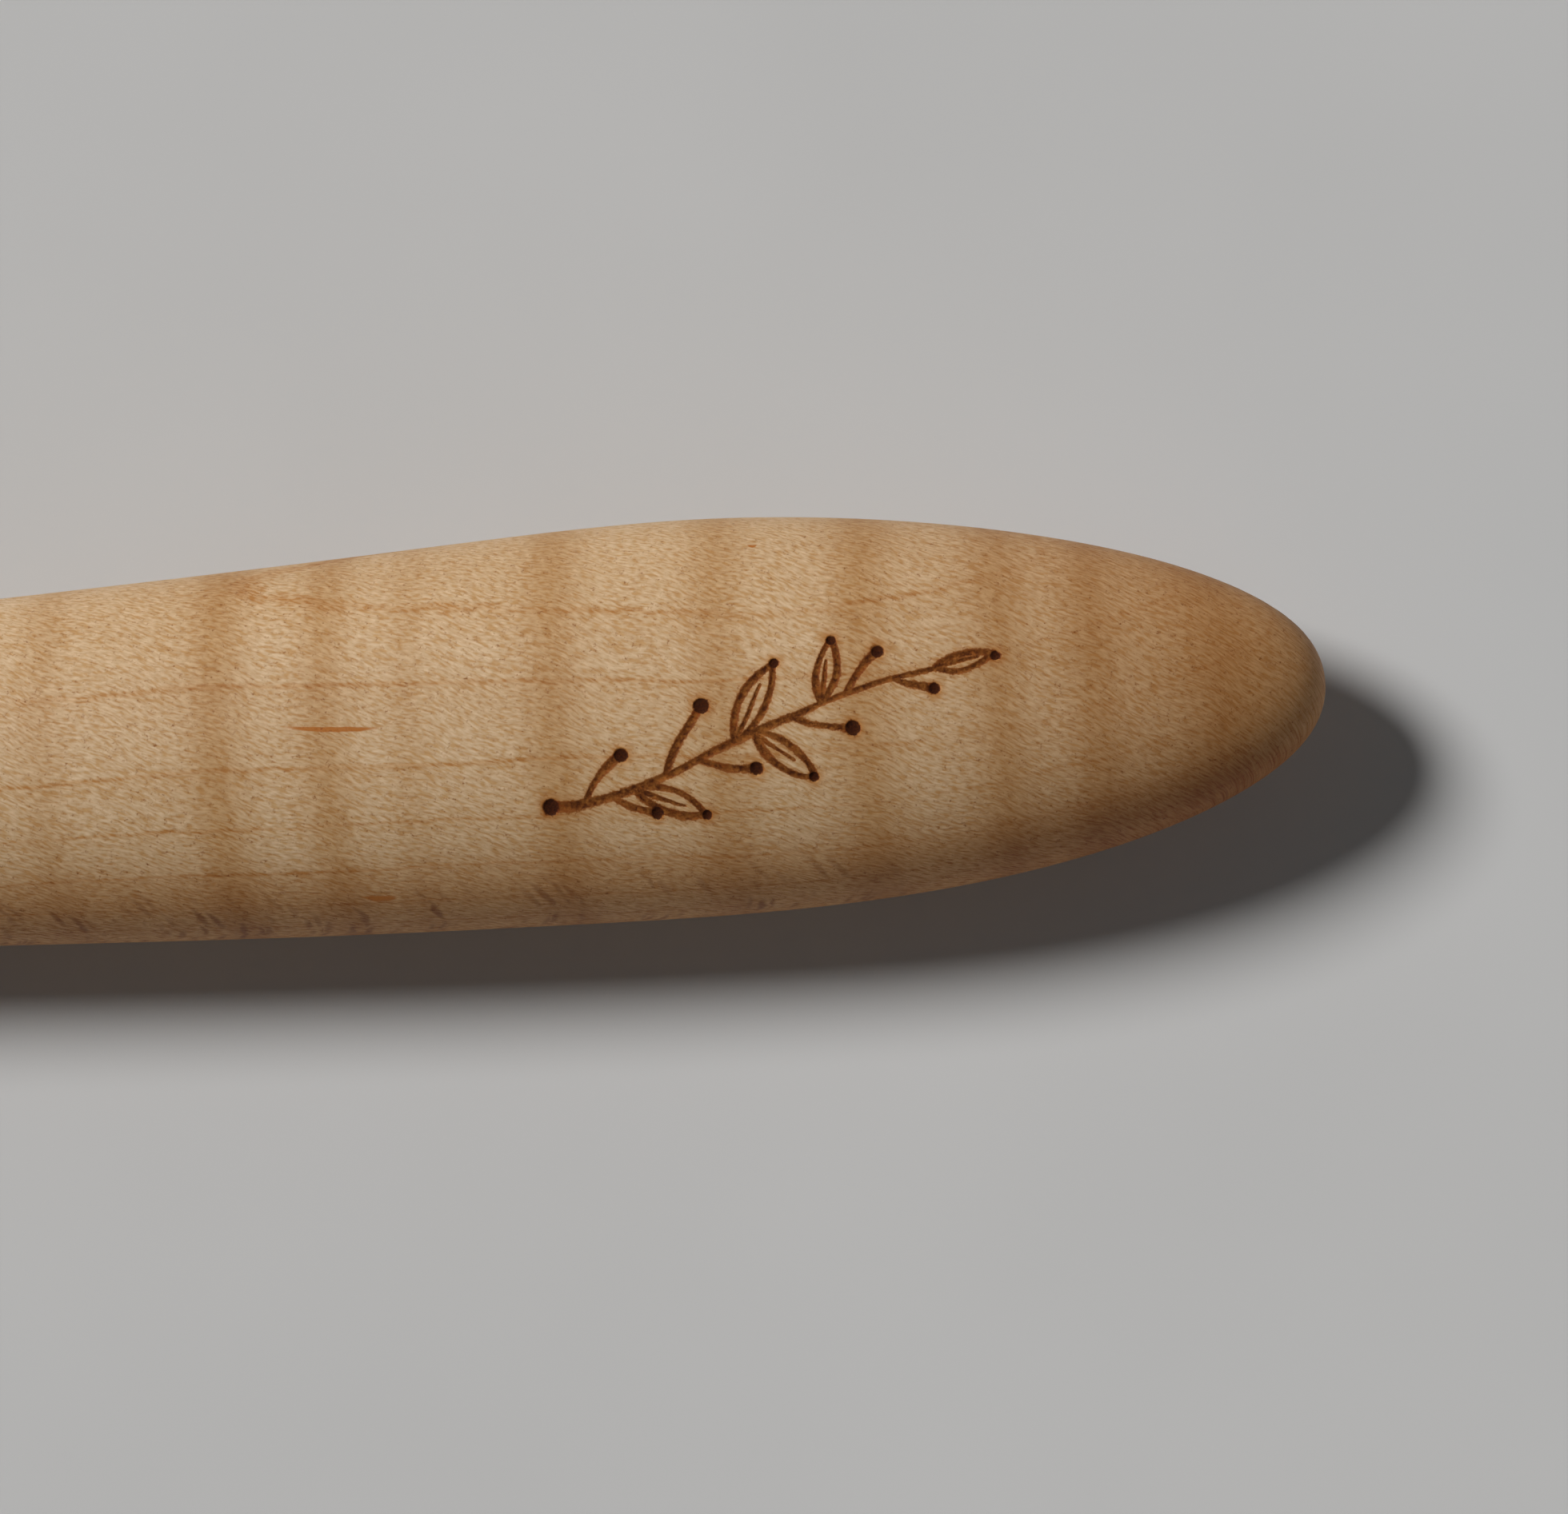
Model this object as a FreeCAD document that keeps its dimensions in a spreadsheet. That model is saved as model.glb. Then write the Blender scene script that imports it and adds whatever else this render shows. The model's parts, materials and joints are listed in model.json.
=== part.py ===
import FreeCAD, Part
import math
import os
import Sketcher
from FreeCAD import Placement, Rotation, Vector

# A cordless wood burning pen: a carved maple handle with a cell, a control board and two
# controls let into it, and a metal front end that holds a heated, replaceable point.
#
# Frame: +Z up, +X towards the rounded butt, the point at -X, and the pen lying on the flat
# along the handle's underside at Z = 0. The origin is the bottom centre of the whole pen.
# A "station" is a distance in millimetres from the butt towards the point.

DIMENSIONS = {
    # the whole pen
    "overall_length": 190.0,
    "axis_height": 8.4,
    "axis_side": -0.4,
    # handle outline: an elliptical nose up to the swell, then a long gentle taper
    "handle_length": 124.0,
    "swell_at": 38.8,
    "swell_half_width": 12.0,
    "swell_half_height": 9.5,
    "butt_trim": 0.3,
    "side_taper": 0.042,
    "back_taper": 0.0103,
    "taper_onset": 8.0,
    "bow": 0.4,
    "bow_span": 18.0,
    "front_chamfer": 0.5,
    # gaps between pieces that are a fit, and between pieces that only touch
    "fit_gap": 0.02,
    "touch_gap": 0.05,
    # bays routed from the underside
    "cell_bay_start": 26.0,
    "cell_bay_end": 80.0,
    "cell_bay_radius": 7.3,
    "board_bay_start": 84.0,
    "board_bay_end": 109.5,
    "board_bay_half": 6.2,
    "board_ledge": 2.4,
    "board_ledge_side": 0.8,
    "board_top": 7.9,
    "bay_ceiling": 13.8,
    # base cover
    "cover_start": 20.0,
    "cover_end": 114.3,
    "cover_half": 8.5,
    "cover_front_half": 7.2,
    "cover_seat": 4.2,
    "cover_corner": 3.2,
    "cover_gap": 0.12,
    "cover_screw_rear": 23.0,
    "cover_screw_bridge": 82.0,
    "cover_screw_front": 111.8,
    "cover_screw_side": 4.3,
    "cover_screw_head": 1.75,
    "cover_screw_shank": 0.85,
    "cover_screw_length": 7.5,
    "screw_sink": 0.15,
    "screw_slot": 0.45,
    # cell and its contacts
    "cell_radius": 7.0,
    "cell_length": 49.2,
    "cell_nub": 0.8,
    "cell_nub_radius": 2.75,
    "cell_start": 28.6,
    "cell_crimp": 1.6,
    "cell_crimp_depth": 0.4,
    "cell_edge": 0.3,
    "contact_thickness": 0.4,
    "contact_half": 4.5,
    "wire_radius": 0.45,
    "wire_bend": 1.0,
    "supply_wire_side": 1.2,
    "supply_wire_joint_side": 3.8,
    "supply_wire_past_ledge": 1.2,
    "return_wire_start_side": 2.5,
    "return_wire_side": 6.55,
    "return_wire_up": 4.75,
    "return_wire_past_cell": 0.6,
    "return_wire_turn_in": 1.5,
    "return_wire_joint": 4.5,
    "lead_side": 1.1,
    # control board
    "board_thickness": 1.0,
    "board_clearance": 0.2,
    "board_screw_radius": 0.7,
    "board_screw_head": 1.2,
    "board_screw_inset": 1.3,
    "board_screw_side": 3.9,
    "board_screw_length": 3.8,
    "board_pilot_length": 4.0,
    # power button
    "button_at": 104.0,
    "button_radius": 3.3,
    "button_flange": 3.75,
    "button_top": 18.1,
    "button_dome": 0.5,
    "button_well": 3.95,
    "bezel_inner": 3.42,
    "bezel_outer": 4.6,
    "bezel_base": 15.2,
    "bezel_blank": 6.0,
    "switch_half": 3.0,
    "switch_height": 3.1,
    "plunger_radius": 1.7,
    "plunger_top": 12.6,
    "stem_foot": 1.0,
    "running_gap": 0.1,
    # lock slider
    "slider_at": 91.2,
    "slider_travel": 2.4,
    "slider_length": 3.4,
    "slider_half_width": 1.5,
    "slider_top": 18.3,
    "slider_skirt_half": 2.6,
    "slider_skirt_length": 6.4,
    "slider_skirt": 0.9,
    "slot_length": 6.2,
    "slot_half": 1.65,
    "plate_length": 9.0,
    "plate_half": 3.1,
    "slide_switch_length": 5.0,
    "slide_switch_half": 1.8,
    "slide_switch_height": 3.0,
    "slide_switch_floor": 1.5,
    "lever_half": 0.6,
    "lever_foot": 1.7,
    "ridge_depth": 0.3,
    # indicator
    "lens_at": 97.6,
    "lens_radius": 0.8,
    "lens_foot": 1.1,
    "lens_shoulder_up": 17.5,
    "lens_dome": 0.25,
    "led_half_length": 0.8,
    "led_half_width": 0.5,
    "led_height": 0.7,
    # charging socket
    "socket_at": 97.0,
    "socket_half_length": 4.45,
    "socket_half_width": 1.58,
    "socket_wall": 0.3,
    "socket_mouth": 0.6,
    "socket_gap": 0.25,
    "socket_block": 1.9,
    "tongue_half_length": 3.3,
    "tongue_half_width": 0.35,
    "tongue_inset": 0.6,
    # ferrule
    "spigot_radius": 6.15,
    "spigot_length": 7.5,
    "ferrule_radius": 8.2,
    "ferrule_land": 3.2,
    "ferrule_groove": 0.45,
    "ferrule_groove_width": 0.8,
    "ferrule_groove_front": 1.2,
    "ferrule_taper": 1.6,
    "ferrule_length": 10.5,
    "ferrule_neck": 6.6,
    "collar_radius": 5.75,
    "collar_length": 5.0,
    "ferrule_bore": 4.5,
    "pin_radius": 0.8,
    "pin_station": 120.2,
    "lead_bore": 2.4,
    # heater and guard
    "bush_radius": 4.45,
    "bush_start": 117.0,
    "bush_length": 22.0,
    "bush_flange": 5.2,
    "bush_flange_length": 1.4,
    "guard_radius": 6.2,
    "guard_wall": 0.4,
    "guard_length": 28.5,
    "guard_slot_length": 5.4,
    "guard_slot_half": 0.8,
    "guard_slot_first": 7.6,
    "guard_slot_pitch": 8.4,
    "guard_screw_at": 2.6,
    "guard_screw_head": 1.15,
    "guard_screw_height": 0.55,
    "guard_screw_radius": 0.55,
    "guard_hole_radius": 0.58,
    "guard_screw_inset": 0.3,
    "barrel_radius": 3.4,
    "barrel_wall": 0.5,
    "barrel_start": 128.0,
    "barrel_length": 40.0,
    "core_radius": 2.0,
    "core_start": 137.0,
    "core_length": 20.0,
    "sleeve_radius": 2.85,
    "ring_length": 2.4,
    "vent_half": 0.8,
    "vent_inner": 4.1,
    "vent_outer": 5.1,
    # point and its nut
    "socket_plug_length": 9.0,
    "socket_plug_flange": 4.1,
    "socket_plug_flange_length": 1.8,
    "nut_radius": 4.5,
    "nut_length": 6.0,
    "nut_face_gap": 0.1,
    "nut_chamfer": 0.7,
    "nut_bore": 1.75,
    "knurl_count": 20.0,
    "knurl_depth": 0.45,
    "shank_radius": 1.6,
    "shank_back": 8.0,
    "point_shoulder": 2.3,
    "point_shoulder_length": 2.2,
    "point_neck": 1.5,
    "point_neck_length": 3.0,
    "point_neck_blend": 0.6,
    "point_body": 2.1,
    "point_edge": 0.22,
    "point_edge_blend": 3.0,
    "facet_start": 2.0,
    "slant_length": 1.8,
}

NOSE_STATIONS = (0.0, 0.35, 1.1, 2.4, 4.6, 8.0, 12.5, 18.5, 27.0, 38.8)
TAPER_STATIONS = (46.0, 54.0, 64.0, 76.0, 88.0, 100.0, 108.0, 116.0, 124.0)

# stations that several pieces start from
SLIDER_REST = "slider_at - slider_travel / 2"
GUARD_START = "handle_length + ferrule_length"
BARREL_END = "barrel_start + barrel_length"
NUT_START = f"{BARREL_END} + socket_plug_flange_length + nut_face_gap"

# each screw's station and its place aside of the pen's axis
COVER_SCREWS = (
    ("cover_screw_rear", "0"),
    ("cover_screw_bridge", "-cover_screw_side"),
    ("cover_screw_bridge", "cover_screw_side"),
    ("cover_screw_front", "0"),
)
BOARD_SCREWS = (
    ("board_bay_start + board_screw_inset", "board_screw_side"),
    ("board_bay_end - board_screw_inset", "-board_screw_side"),
)
# what is soldered to the board: name, station, side, half-length, half-width, height, and
# whether it is above the board (1) or below it (-1)
BOARD_CHIPS = (
    ("controller", 97.0, -3.5, 1.5, 1.3, 0.9, 1),
    ("driver", 91.4, 3.6, 1.4, 1.0, 1.0, 1),
    ("inductor", 88.4, 0.0, 2.4, 2.4, 2.0, -1),
    ("charger", 105.0, 1.6, 1.5, 1.5, 0.8, -1),
    ("capacitor_a", 104.6, -2.6, 0.9, 0.5, 0.6, -1),
    ("capacitor_b", 99.2, 4.0, 0.9, 0.5, 0.6, 1),
    ("resistor", 95.4, 3.2, 0.8, 0.4, 0.4, 1),
)

TOWARDS_POINT = Rotation(Vector(0, 0, 1), 180)
UPWARD = Rotation(Vector(0, 1, 0), -90)
ACROSS = Rotation(Vector(1, 0, 0), -90)
SECTION_PLANE = Rotation(Vector(1, 1, 1), 120)

doc = FreeCAD.newDocument("wood_burning_pen")
sheet = doc.addObject("Spreadsheet::Sheet", "Sheet")
for row, (alias, size) in enumerate(DIMENSIONS.items(), start=1):
    sheet.set(f"A{row}", alias)
    sheet.set(f"B{row}", str(size))
    sheet.setAlias(f"B{row}", alias)
working = doc.addObject("Spreadsheet::Sheet", "Working")
doc.recompute()


# ---------------------------------------------------------------- expressions and helpers

def bound(formula):
    """The formula with every dimension's name pointing at its cell in the sheet."""
    words, word = [], ""
    for character in formula + " ":
        if character.isalnum() or character in "_.":
            word += character
            continue
        words.append(f"Sheet.{word}" if word in DIMENSIONS else word)
        words.append(character)
        word = ""
    return "".join(words).strip()


def value(formula):
    """The formula's number in millimetres, worked out in a spare cell."""
    working.set("A1", f"={bound(formula)}")
    working.recompute()
    return float(working.get("A1"))


def at_station(station):
    """World X of a station."""
    return f"overall_length / 2 - ({station})"


def bind(thing, **formulas):
    for name, formula in formulas.items():
        thing.setExpression(name, bound(formula))


def place(thing, along="0", side="axis_side", up="axis_height", turn=Rotation()):
    """Put a sub-part at world X, Y and Z, each a formula."""
    thing.Placement = Placement(Vector(), turn)
    for axis, formula in zip("xyz", (along, side, up)):
        thing.setExpression(f"Placement.Base.{axis}", bound(formula))
    return thing


def box(label, x, y, z):
    """A block given by its low and high limits along world X, Y and Z."""
    block = doc.addObject("Part::Box", label)
    block.Label = label
    bind(block, Length=f"({x[1]}) - ({x[0]})", Width=f"({y[1]}) - ({y[0]})", Height=f"({z[1]}) - ({z[0]})")
    return place(block, x[0], y[0], z[0])


def stretch(start, end):
    """World X limits between two stations, the rear one given first."""
    return at_station(end), at_station(start)


def middle(half):
    """World Y limits, a half-width each side of the pen's axis."""
    return f"axis_side - ({half})", f"axis_side + ({half})"


def rod(label, radius, length, along, side="axis_side", up="axis_height", turn=Rotation()):
    """A cylinder whose own Z axis is turned the way it runs."""
    cylinder = doc.addObject("Part::Cylinder", label)
    cylinder.Label = label
    bind(cylinder, Radius=radius, Height=length)
    return place(cylinder, along, side, up, turn)


def rod_along(label, radius, start, end, side="axis_side", up="axis_height"):
    """A cylinder lengthwise between two stations."""
    return rod(label, radius, f"({end}) - ({start})", at_station(end), side, up, UPWARD.inverted())


def combine(kind, label, *shapes):
    """A Part boolean or compound of several shapes."""
    result = doc.addObject(kind, label)
    result.Label = label
    if kind == "Part::Compound":
        result.Links = list(shapes)
    elif kind == "Part::MultiFuse":
        result.Shapes = list(shapes)
    else:
        result.Base, result.Tool = shapes
    return result


def fuse(label, *shapes):
    return combine("Part::MultiFuse", label, *shapes)


def cut(label, base, tool):
    return combine("Part::Cut", label, base, tool)


def common(label, base, tool):
    return combine("Part::Common", label, base, tool)


def group(label, *shapes):
    return combine("Part::Compound", label, *shapes)


def new_body(label, *where, **how):
    body = doc.addObject("PartDesign::Body", label)
    body.Label = label
    return place(body, *where, **how)


def outline(body, name, points, plane="XY_Plane", offset="0", roll=0.0):
    """A closed, fully dimensioned polygon; each point is a pair of formulas."""
    sketch = body.newObject("Sketcher::SketchObject", name)
    support = next(f for f in body.Origin.OriginFeatures if f.Role == plane)
    sketch.AttachmentSupport = [(support, "")]
    sketch.MapMode = "FlatFace"
    sketch.AttachmentOffset = Placement(Vector(0, 0, value(offset)), Rotation(Vector(1, 0, 0), roll))
    sketch.setExpression("AttachmentOffset.Base.z", bound(offset))
    spots = [Vector(value(u), value(v), 0) for u, v in points]
    for start, end in zip(spots, spots[1:] + spots[:1]):
        sketch.addGeometry(Part.LineSegment(start, end))
    for side in range(len(points)):
        sketch.addConstraint(Sketcher.Constraint("Coincident", side, 2, (side + 1) % len(points), 1))
    for side, (pair, spot) in enumerate(zip(points, spots)):
        for kind, formula, size in (("DistanceX", pair[0], spot.x), ("DistanceY", pair[1], spot.y)):
            index = sketch.addConstraint(Sketcher.Constraint(kind, -1, 1, side, 1, size))
            sketch.setExpression(f"Constraints[{index}]", bound(formula))
    return sketch


def turned(label, points, *where, **how):
    """A turned piece: points are (distance along its own X axis, radius)."""
    body = new_body(label, *where, **how)
    profile = outline(body, f"{label}_profile", points)
    revolution = body.newObject("PartDesign::Revolution", f"{label}_turned")
    revolution.Profile = profile
    revolution.ReferenceAxis = (profile, ["H_Axis"])
    revolution.Angle = 360.0
    return body


def tube_points(inner, outer, length):
    return (("0", inner), (length, inner), (length, outer), ("0", outer))


def disc_points(radius, length):
    return (("0", "0"), (length, "0"), (length, radius), ("0", radius))


def pad(body, name, profile, length):
    feature = body.newObject("PartDesign::Pad", name)
    feature.Profile = profile
    bind(feature, Length=length)
    return feature


def pocket(body, name, profile, length, reverse=False, midplane=False):
    feature = body.newObject("PartDesign::Pocket", name)
    feature.Profile = profile
    feature.Reversed = reverse
    feature.Midplane = midplane
    bind(feature, Length=length)
    return feature


def around(body, name, features, count):
    """Repeat features evenly round the body's own X axis."""
    pattern = body.newObject("PartDesign::PolarPattern", name)
    pattern.Originals = features
    axis = next(f for f in body.Origin.OriginFeatures if f.Role == "X_Axis")
    pattern.Axis = (axis, [""])
    pattern.Angle = 360.0
    bind(pattern, Occurrences=count)
    body.Tip = pattern
    return pattern


# ---------------------------------------------------------------- the handle's outer skin

def half_size(station, swell, taper):
    """Half-width or half-height of the handle at a station."""
    if station <= DIMENSIONS["swell_at"]:
        return f"{swell} * sqrt(1 - ((swell_at - {station}) / (swell_at + butt_trim))^2)"
    reach = f"sqrt(({station} - swell_at)^2 + taper_onset^2) - taper_onset"
    return f"{swell} - {taper} * ({reach})"


def handle_section(station):
    """An elliptical cross-section, its centre carried a little aside near the swell."""
    name = f"section_{round(station * 100):05d}"
    ellipse = doc.addObject("Part::Ellipse", name)
    ellipse.MajorRadius = value(half_size(station, "swell_half_width", "side_taper"))
    ellipse.MinorRadius = value(half_size(station, "swell_half_height", "back_taper"))
    bind(
        ellipse,
        MajorRadius=half_size(station, "swell_half_width", "side_taper"),
        MinorRadius=half_size(station, "swell_half_height", "back_taper"),
    )
    aside = f"axis_side + bow * exp(0 - (({station} - swell_at) / bow_span)^2)"
    return place(ellipse, at_station(station), aside, turn=SECTION_PLANE)


def handle_blank():
    """The carved outer form, chamfered at the ferrule and flat underneath."""
    loft = doc.addObject("Part::Loft", "handle_loft")
    loft.Sections = [handle_section(station) for station in NOSE_STATIONS + TAPER_STATIONS]
    loft.Solid = True
    loft.Ruled = False
    doc.recompute()
    front = value(at_station("handle_length"))
    rims = [
        index
        for index, edge in enumerate(loft.Shape.Edges, start=1)
        if abs(edge.BoundBox.XMax - front) < 1e-3 and edge.BoundBox.XLength < 1e-3
    ]
    chamfered = doc.addObject("Part::Chamfer", "handle_chamfer")
    chamfered.Base = loft
    size = DIMENSIONS["front_chamfer"]
    chamfered.Edges = [(index, size, size) for index in rims]
    reach = "overall_length"
    below = box("below_flat", (f"-{reach}", reach), (f"-{reach}", reach), (f"-{reach}", "0"))
    return cut("handle_blank", chamfered, below)


# ---------------------------------------------------------------- rooms inside the handle

def cover_prism(label, gap):
    """The cover's outline as a prism from below the pen up to its seat."""
    body = new_body(label, at_station("cover_start"), up="-1", turn=TOWARDS_POINT)
    straight = "cell_bay_end - cover_start"
    length = "cover_end - cover_start"
    rear, front = f"cover_half - {gap}", f"cover_front_half - {gap}"
    points = (
        (gap, f"-({rear})"),
        (straight, f"-({rear})"),
        (f"{length} - {gap}", f"-({front})"),
        (f"{length} - {gap}", front),
        (straight, rear),
        (gap, rear),
    )
    prism = pad(body, f"{label}_pad", outline(body, f"{label}_outline", points), "cover_seat + 1")
    doc.recompute()
    ends = (value(gap), value(f"{length} - {gap}"))
    corners = [
        f"Edge{index}"
        for index, edge in enumerate(prism.Shape.Edges, start=1)
        if edge.BoundBox.ZLength > 1 and min(abs(edge.BoundBox.XMin - end) for end in ends) < 1e-3
    ]
    rounding = body.newObject("PartDesign::Fillet", f"{label}_corners")
    rounding.Base = (prism, corners)
    bind(rounding, Radius="cover_corner")
    return body


def arched_bay(label, radius, start, end):
    """A routed bay with a round roof, open at the underside."""
    roof = rod_along(f"{label}_roof", radius, start, end)
    walls = box(f"{label}_walls", stretch(start, end), middle(radius), ("-1", "axis_height"))
    return fuse(label, roof, walls)


def obround(label, length, half, station, low, high):
    """An upright slot shape: a block with a half-round at each end."""
    straight = f"({length}) / 2 - ({half})"
    shapes = [box(f"{label}_middle", stretch(f"{station} - ({straight})", f"{station} + ({straight})"),
                  middle(half), (low, high))]
    for end, sign in (("rear", "-"), ("front", "+")):
        along = at_station(f"{station} {sign} ({straight})")
        shapes.append(rod(f"{label}_{end}", half, f"({high}) - ({low})", along, up=low))
    return fuse(label, *shapes)


def board_bay():
    """The board's bay: a lower room and a narrower upper one, leaving a ledge for the board."""
    lower = box("board_bay_lower", stretch("board_bay_start", "board_bay_end"),
                middle("board_bay_half"), ("-1", "board_top"))
    upper = box("board_bay_upper",
                stretch("board_bay_start + board_ledge", "board_bay_end - board_ledge"),
                middle("board_bay_half - board_ledge_side"), ("0", "bay_ceiling"))
    return fuse("board_bay", lower, upper)


def handle_tools():
    """Everything that is cut out of the blank to make the handle."""
    above = "axis_height * 3"
    return fuse(
        "handle_tools",
        arched_bay("cell_bay", "cell_bay_radius", "cell_bay_start", "cell_bay_end"),
        board_bay(),
        cover_prism("cover_recess", "0"),
        rod_along("spigot_bore", "spigot_radius", "handle_length - spigot_length", "handle_length + 1"),
        rod_along("lead_passage", "lead_bore", "board_bay_end - board_ledge - 1", "handle_length"),
        rod_along("cell_wire_hole", "lead_bore", "cell_bay_end - 1", "board_bay_start + board_ledge + 1",
                  up="axis_height + lead_bore"),
        box("return_wire_notch", stretch("cell_bay_end - 1", "board_bay_start + 1"),
            ("axis_side + return_wire_side - wire_radius * 4",
             "axis_side + return_wire_side + wire_radius * 1.5"),
            ("cover_seat - 1", "return_wire_up + wire_radius * 1.5")),
        rod("button_well", "button_well", "bezel_base - bay_ceiling + 1", at_station("button_at"),
            up="bay_ceiling - 1"),
        rod("bezel_recess", "bezel_outer", above, at_station("button_at"), up="bezel_base"),
        slot_block("slider_slot", "bay_ceiling - 1", above),
        obround("plate_recess", "plate_length", "plate_half", "slider_at", "bezel_base", above),
        rod("lens_hole", "lens_radius", above, at_station("lens_at"), up="board_top + 1"),
        rod("pin_hole", "pin_radius", "swell_half_width * 2", at_station("pin_station"),
            side="axis_side - swell_half_width", turn=ACROSS),
        *[
            rod(f"pilot_{index}", "cover_screw_shank", "cover_screw_length", at_station(station),
                side=f"axis_side + ({side})", up="screw_sink")
            for index, (station, side) in enumerate(COVER_SCREWS)
        ],
        *[
            rod(f"board_pilot_{index}", "board_screw_radius", "board_pilot_length", at_station(station),
                side=f"axis_side + ({side})", up="board_top - 1")
            for index, (station, side) in enumerate(BOARD_SCREWS)
        ],
    )


def handle(blank):
    return cut("handle", blank, handle_tools())


def base_cover(blank):
    """The inlaid cover: a slice of the handle's own skin, hollowed for the cell."""
    slice_ = common("cover_slice", blank, cover_prism("cover_prism", "cover_gap"))
    tools = [
        rod_along("cell_trough", "cell_bay_radius", "cell_bay_start", "cell_bay_end"),
        obround("socket_slot", "(socket_half_length + socket_gap) * 2", "socket_half_width + socket_gap",
                "socket_at", "-1", "cover_seat + 1"),
    ]
    for index, (station, side) in enumerate(COVER_SCREWS):
        where = {"side": f"axis_side + ({side})"}
        tools.append(rod(f"cover_hole_{index}", "cover_screw_shank", "cover_seat + 2",
                         at_station(station), up="-1", **where))
        tools.append(screw_head(f"cover_sink_{index}", "0", station, **where))
        tools.append(rod(f"cover_entry_{index}", "cover_screw_head", "screw_sink + 1",
                         at_station(station), up="-1", **where))
    return cut("base_cover", slice_, fuse("cover_tools", *tools))


def screw_head(label, shrink, station, side):
    """The cone of a countersunk head, widest at the underside."""
    cone = doc.addObject("Part::Cone", label)
    cone.Label = label
    bind(cone, Radius1=f"cover_screw_head - {shrink}", Radius2=f"cover_screw_shank - {shrink}",
         Height="cover_screw_head - cover_screw_shank")
    return place(cone, at_station(station), side, "screw_sink")


def cover_screws():
    """Four countersunk slotted brass screws, driven up through the cover."""
    screws = []
    for index, (station, offset) in enumerate(COVER_SCREWS):
        side = f"axis_side + ({offset})"
        head = screw_head(f"screw_head_{index}", "fit_gap", station, side)
        shank = rod(f"screw_shank_{index}", "cover_screw_shank - fit_gap",
                    "cover_screw_length - screw_sink", at_station(station), side=side, up="screw_sink")
        solid = fuse(f"screw_blank_{index}", head, shank)
        along = at_station(station)
        slot = box(f"screw_slot_{index}",
                   (f"{along} - cover_screw_head", f"{along} + cover_screw_head"),
                   (f"{side} - screw_slot / 2", f"{side} + screw_slot / 2"),
                   ("0", "screw_sink + screw_slot"))
        screws.append(cut(f"screw_{index}", solid, slot))
    return group("cover_screws", *screws)


# ---------------------------------------------------------------- cell, contacts and wires

def battery_cell():
    """The cell: a crimped can with its nub towards the point."""
    crimp, groove = "cell_radius - cell_crimp_depth", "cell_length - cell_crimp * 2"
    points = (
        ("0", "0"),
        ("cell_length + cell_nub", "0"),
        ("cell_length + cell_nub", "cell_nub_radius"),
        ("cell_length", "cell_nub_radius"),
        ("cell_length", "cell_radius - cell_edge"),
        ("cell_length - cell_edge", "cell_radius"),
        ("cell_length - cell_crimp", "cell_radius"),
        (f"{groove} + cell_crimp / 2", crimp),
        (groove, "cell_radius"),
        ("cell_edge", "cell_radius"),
        ("0", "cell_radius - cell_edge"),
    )
    return turned("battery_cell", points, at_station("cell_start"), turn=TOWARDS_POINT)


def leaf_contact(label, station, depth):
    """A flat strip with a tongue bent out to press on the cell."""
    body = new_body(label, at_station(station), side="axis_side - contact_half", turn=Rotation())
    thick, tall = "contact_thickness", "contact_half"
    back = f"{thick} * 2"
    points = (
        ("0", f"-({tall})"),
        ("0", tall),
        (f"-({thick})", tall),
        (f"-({thick})", f"0 - {tall} / 4"),
        (f"-({depth})", f"0 - {tall} / 2"),
        (f"-({depth})", f"0 - {tall} / 2 - {back}"),
        (f"-({thick})", f"0 - {tall} / 4 - {back}"),
        (f"-({thick})", f"-({tall})"),
    )
    profile = outline(body, f"{label}_profile", points, plane="XZ_Plane")
    strip = pad(body, f"{label}_strip", profile, "contact_half * 2")
    strip.Reversed = True
    return body


def wire(label, points):
    """A round wire along straight runs joined by tangent arcs; points are world positions."""
    spots = [Vector(*(value(formula) for formula in point)) for point in points]
    edges, start = [], spots[0]
    for corner, after in zip(spots[1:], spots[2:]):
        arriving = (corner - start).normalize()
        leaving = (after - corner).normalize()
        turn = arriving.getAngle(leaving)
        trim = value("wire_bend") * math.tan(turn / 2)
        entry, leave = corner - arriving * trim, corner + leaving * trim
        crown = corner + (leaving - arriving).normalize() * (trim * math.tan(turn / 4))
        edges.append(Part.LineSegment(start, entry).toShape())
        edges.append(Part.Arc(entry, crown, leave).toShape())
        start = leave
    edges.append(Part.LineSegment(start, spots[-1]).toShape())
    circle = Part.Wire([Part.makeCircle(value("wire_radius"), spots[0], spots[1] - spots[0])])
    strand = doc.addObject("Part::Feature", label)
    strand.Label = label
    strand.Shape = Part.Wire(edges).makePipeShell([circle], True, True)
    return strand


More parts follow.
